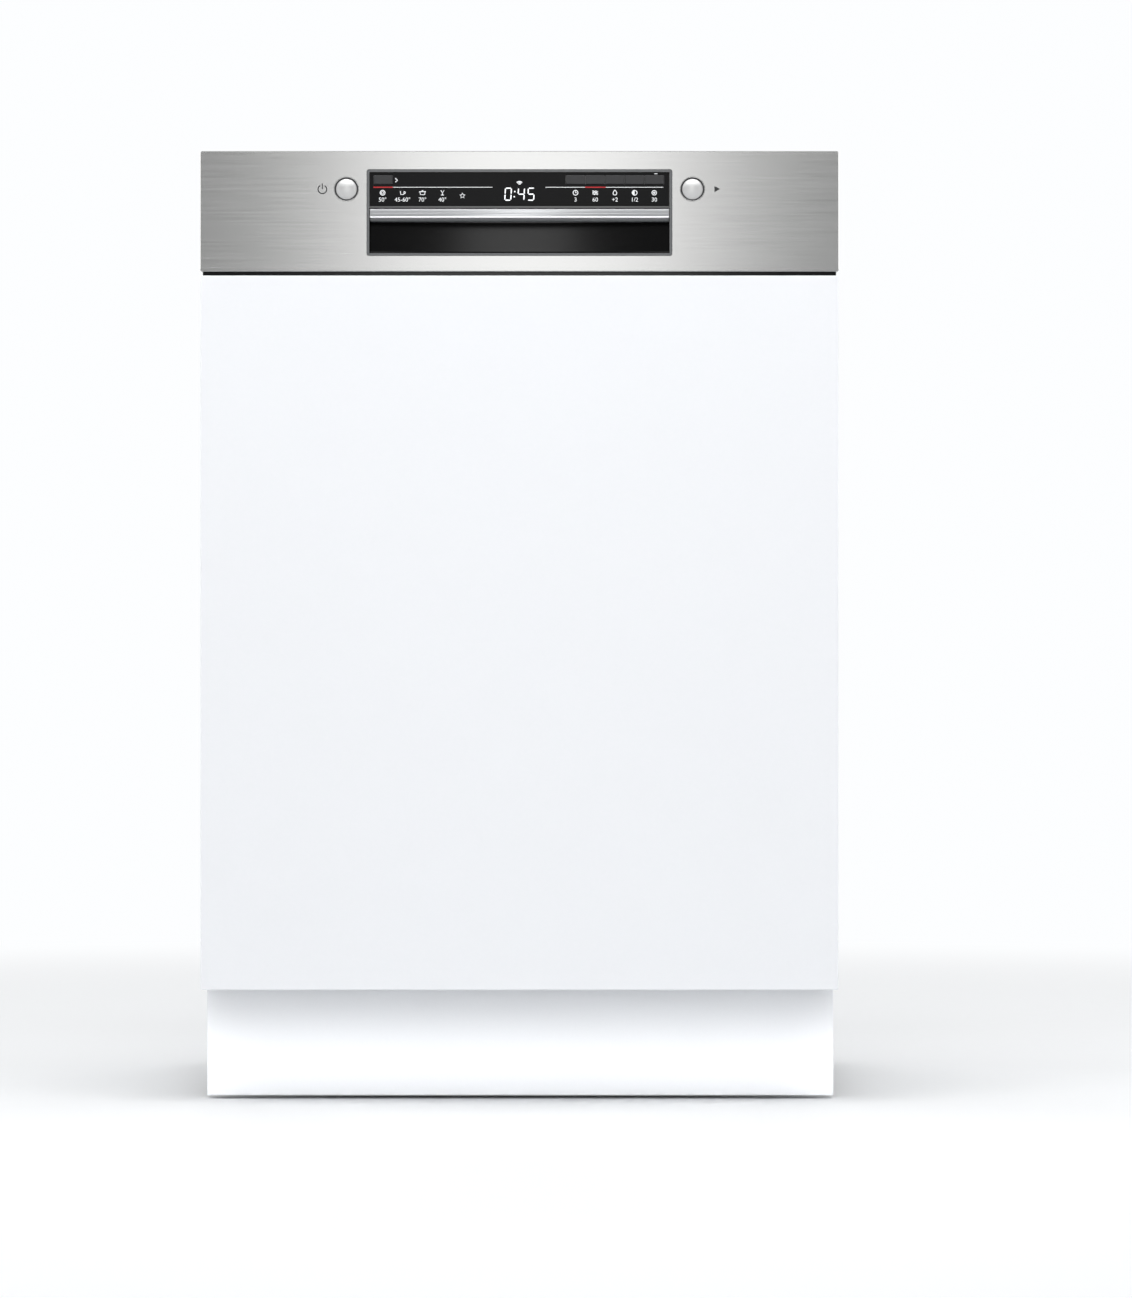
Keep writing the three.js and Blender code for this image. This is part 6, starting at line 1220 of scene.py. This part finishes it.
def screw_head(place, way, radius=3.2 * mm, rise=1.2 * mm):
    """Polar grid of heights with a sunk cross; `way` is where the head looks, as +x, -x, +y or +z."""
    r = SCREW_RINGS * radius
    a = np.linspace(0, FULL_TURN, SCREW_SIDES, endpoint=False)
    x, y = r * np.cos(a), r * np.sin(a)
    near, far = np.minimum(np.abs(x), np.abs(y)), np.maximum(np.abs(x), np.abs(y))
    cross = (near < 0.14 * radius) & (far < 0.55 * radius)
    h = 0.45 * rise + 0.55 * rise * (1 - (r / radius) ** 2) - 0.5 * rise * cross
    h[-2:] = -0.2 * mm
    return skin(set_out(way[1], x, y, -h if way[0] == "-" else h) + np.asarray(place, float))


a, b = corners("side_panel_right")
SIDE_FACE, SIDE_EDGE = b[0] - 1 * mm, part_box("tub_shell")[0].y + 2 * mm
spots = [(b[1] - 7 * mm, z) for z in np.linspace(a[2] + 40 * mm, b[2] - 14 * mm, 5)]
spots += [(y, a[2] + 10 * mm) for y in (-90 * mm, 60 * mm, 200 * mm)]
spots += [(SIDE_EDGE + 7 * mm, z) for z in (300 * mm, 560 * mm, b[2] - 14 * mm)]
heads = [screw_head((side * SIDE_FACE, y, z), "+x" if side > 0 else "-x")
         for side in (-1, 1) for y, z in spots]
a, b = corners("top_crossbar")
heads += [screw_head((side * (b[0] - 5.5 * mm), y, a[2] + 1.2 * mm), "+z") for side in (-1, 1)
          for y in (SIDE_EDGE + 7 * mm, b[1] - 7 * mm)]
dress(assemble("case_screws", heads), "cabinet", "zinc_steel", look="spring_steel")
a, b = corners("door_liner")
heads = [screw_head((side * (b[0] - 3.4 * mm), a[1] + 1 * mm, z), "+y", 2.4 * mm, 0.8 * mm)
         for side in (-1, 1) for z in np.linspace(a[2] + 160 * mm, b[2] - 20 * mm, 5)]
dress(assemble("door_screws", heads), "door", "door_steel", look="spring_steel")

# %% [markdown]
# ## Dispenser
# The lid of the detergent chamber slides, so it has ribs for the thumb. Beside it, marks show how far to
# fill, and the rinse aid lid has a small window ring.

# %% Ribs and marks on the dispenser
a, b = corners("detergent_lid")
middle = (a[0] + b[0]) / 2
ribs = []
for half, back, proud, tall, corner, levels in (
        (13 * mm, 1.8 * mm, 0.2 * mm, 1.2 * mm, 0.3 * mm, a[2] + np.arange(12.5, 28, 3.2) * mm),
        (30 * mm, 0.3 * mm, 0.35 * mm, 0.8 * mm, 0.2 * mm,
         (b[2] - 26 * mm, b[2] - 20 * mm, b[2] - 14 * mm))):
    ribs += [bar_of((middle - half, b[1] - back, z), (middle + half, b[1] + proud, z + tall), "x", corner)
             for z in levels]
dress(assemble("detergent_lid_ribs", ribs), "detergent_lid", "grey_plastic")
a, b = corners("rinse_aid_lid")
centre = ((a[0] + b[0]) / 2, b[1] - 3 * mm, (a[2] + b[2]) / 2 - 3 * mm)
ring = [(8.4, -0.4), (8.4, 0.5), (9, 0.8), (9.8, 0.8), (10.4, 0.5), (10.4, -0.4)]
window = [(0.01, -0.4), (8.2, -0.4), (8.2, 0.2), (6, 0.5), (0.01, 0.7)]
dress(assemble("rinse_aid_ring", [lathe(np.array(ring) * mm, centre, "y", 40, ring=True)]), "rinse_aid_lid",
      "grey_plastic", look="white_plastic")
dress(assemble("rinse_aid_window", [lathe(np.array(window) * mm, centre, "y", 40)]), "rinse_aid_lid",
      "display_black", look="gloss_black")
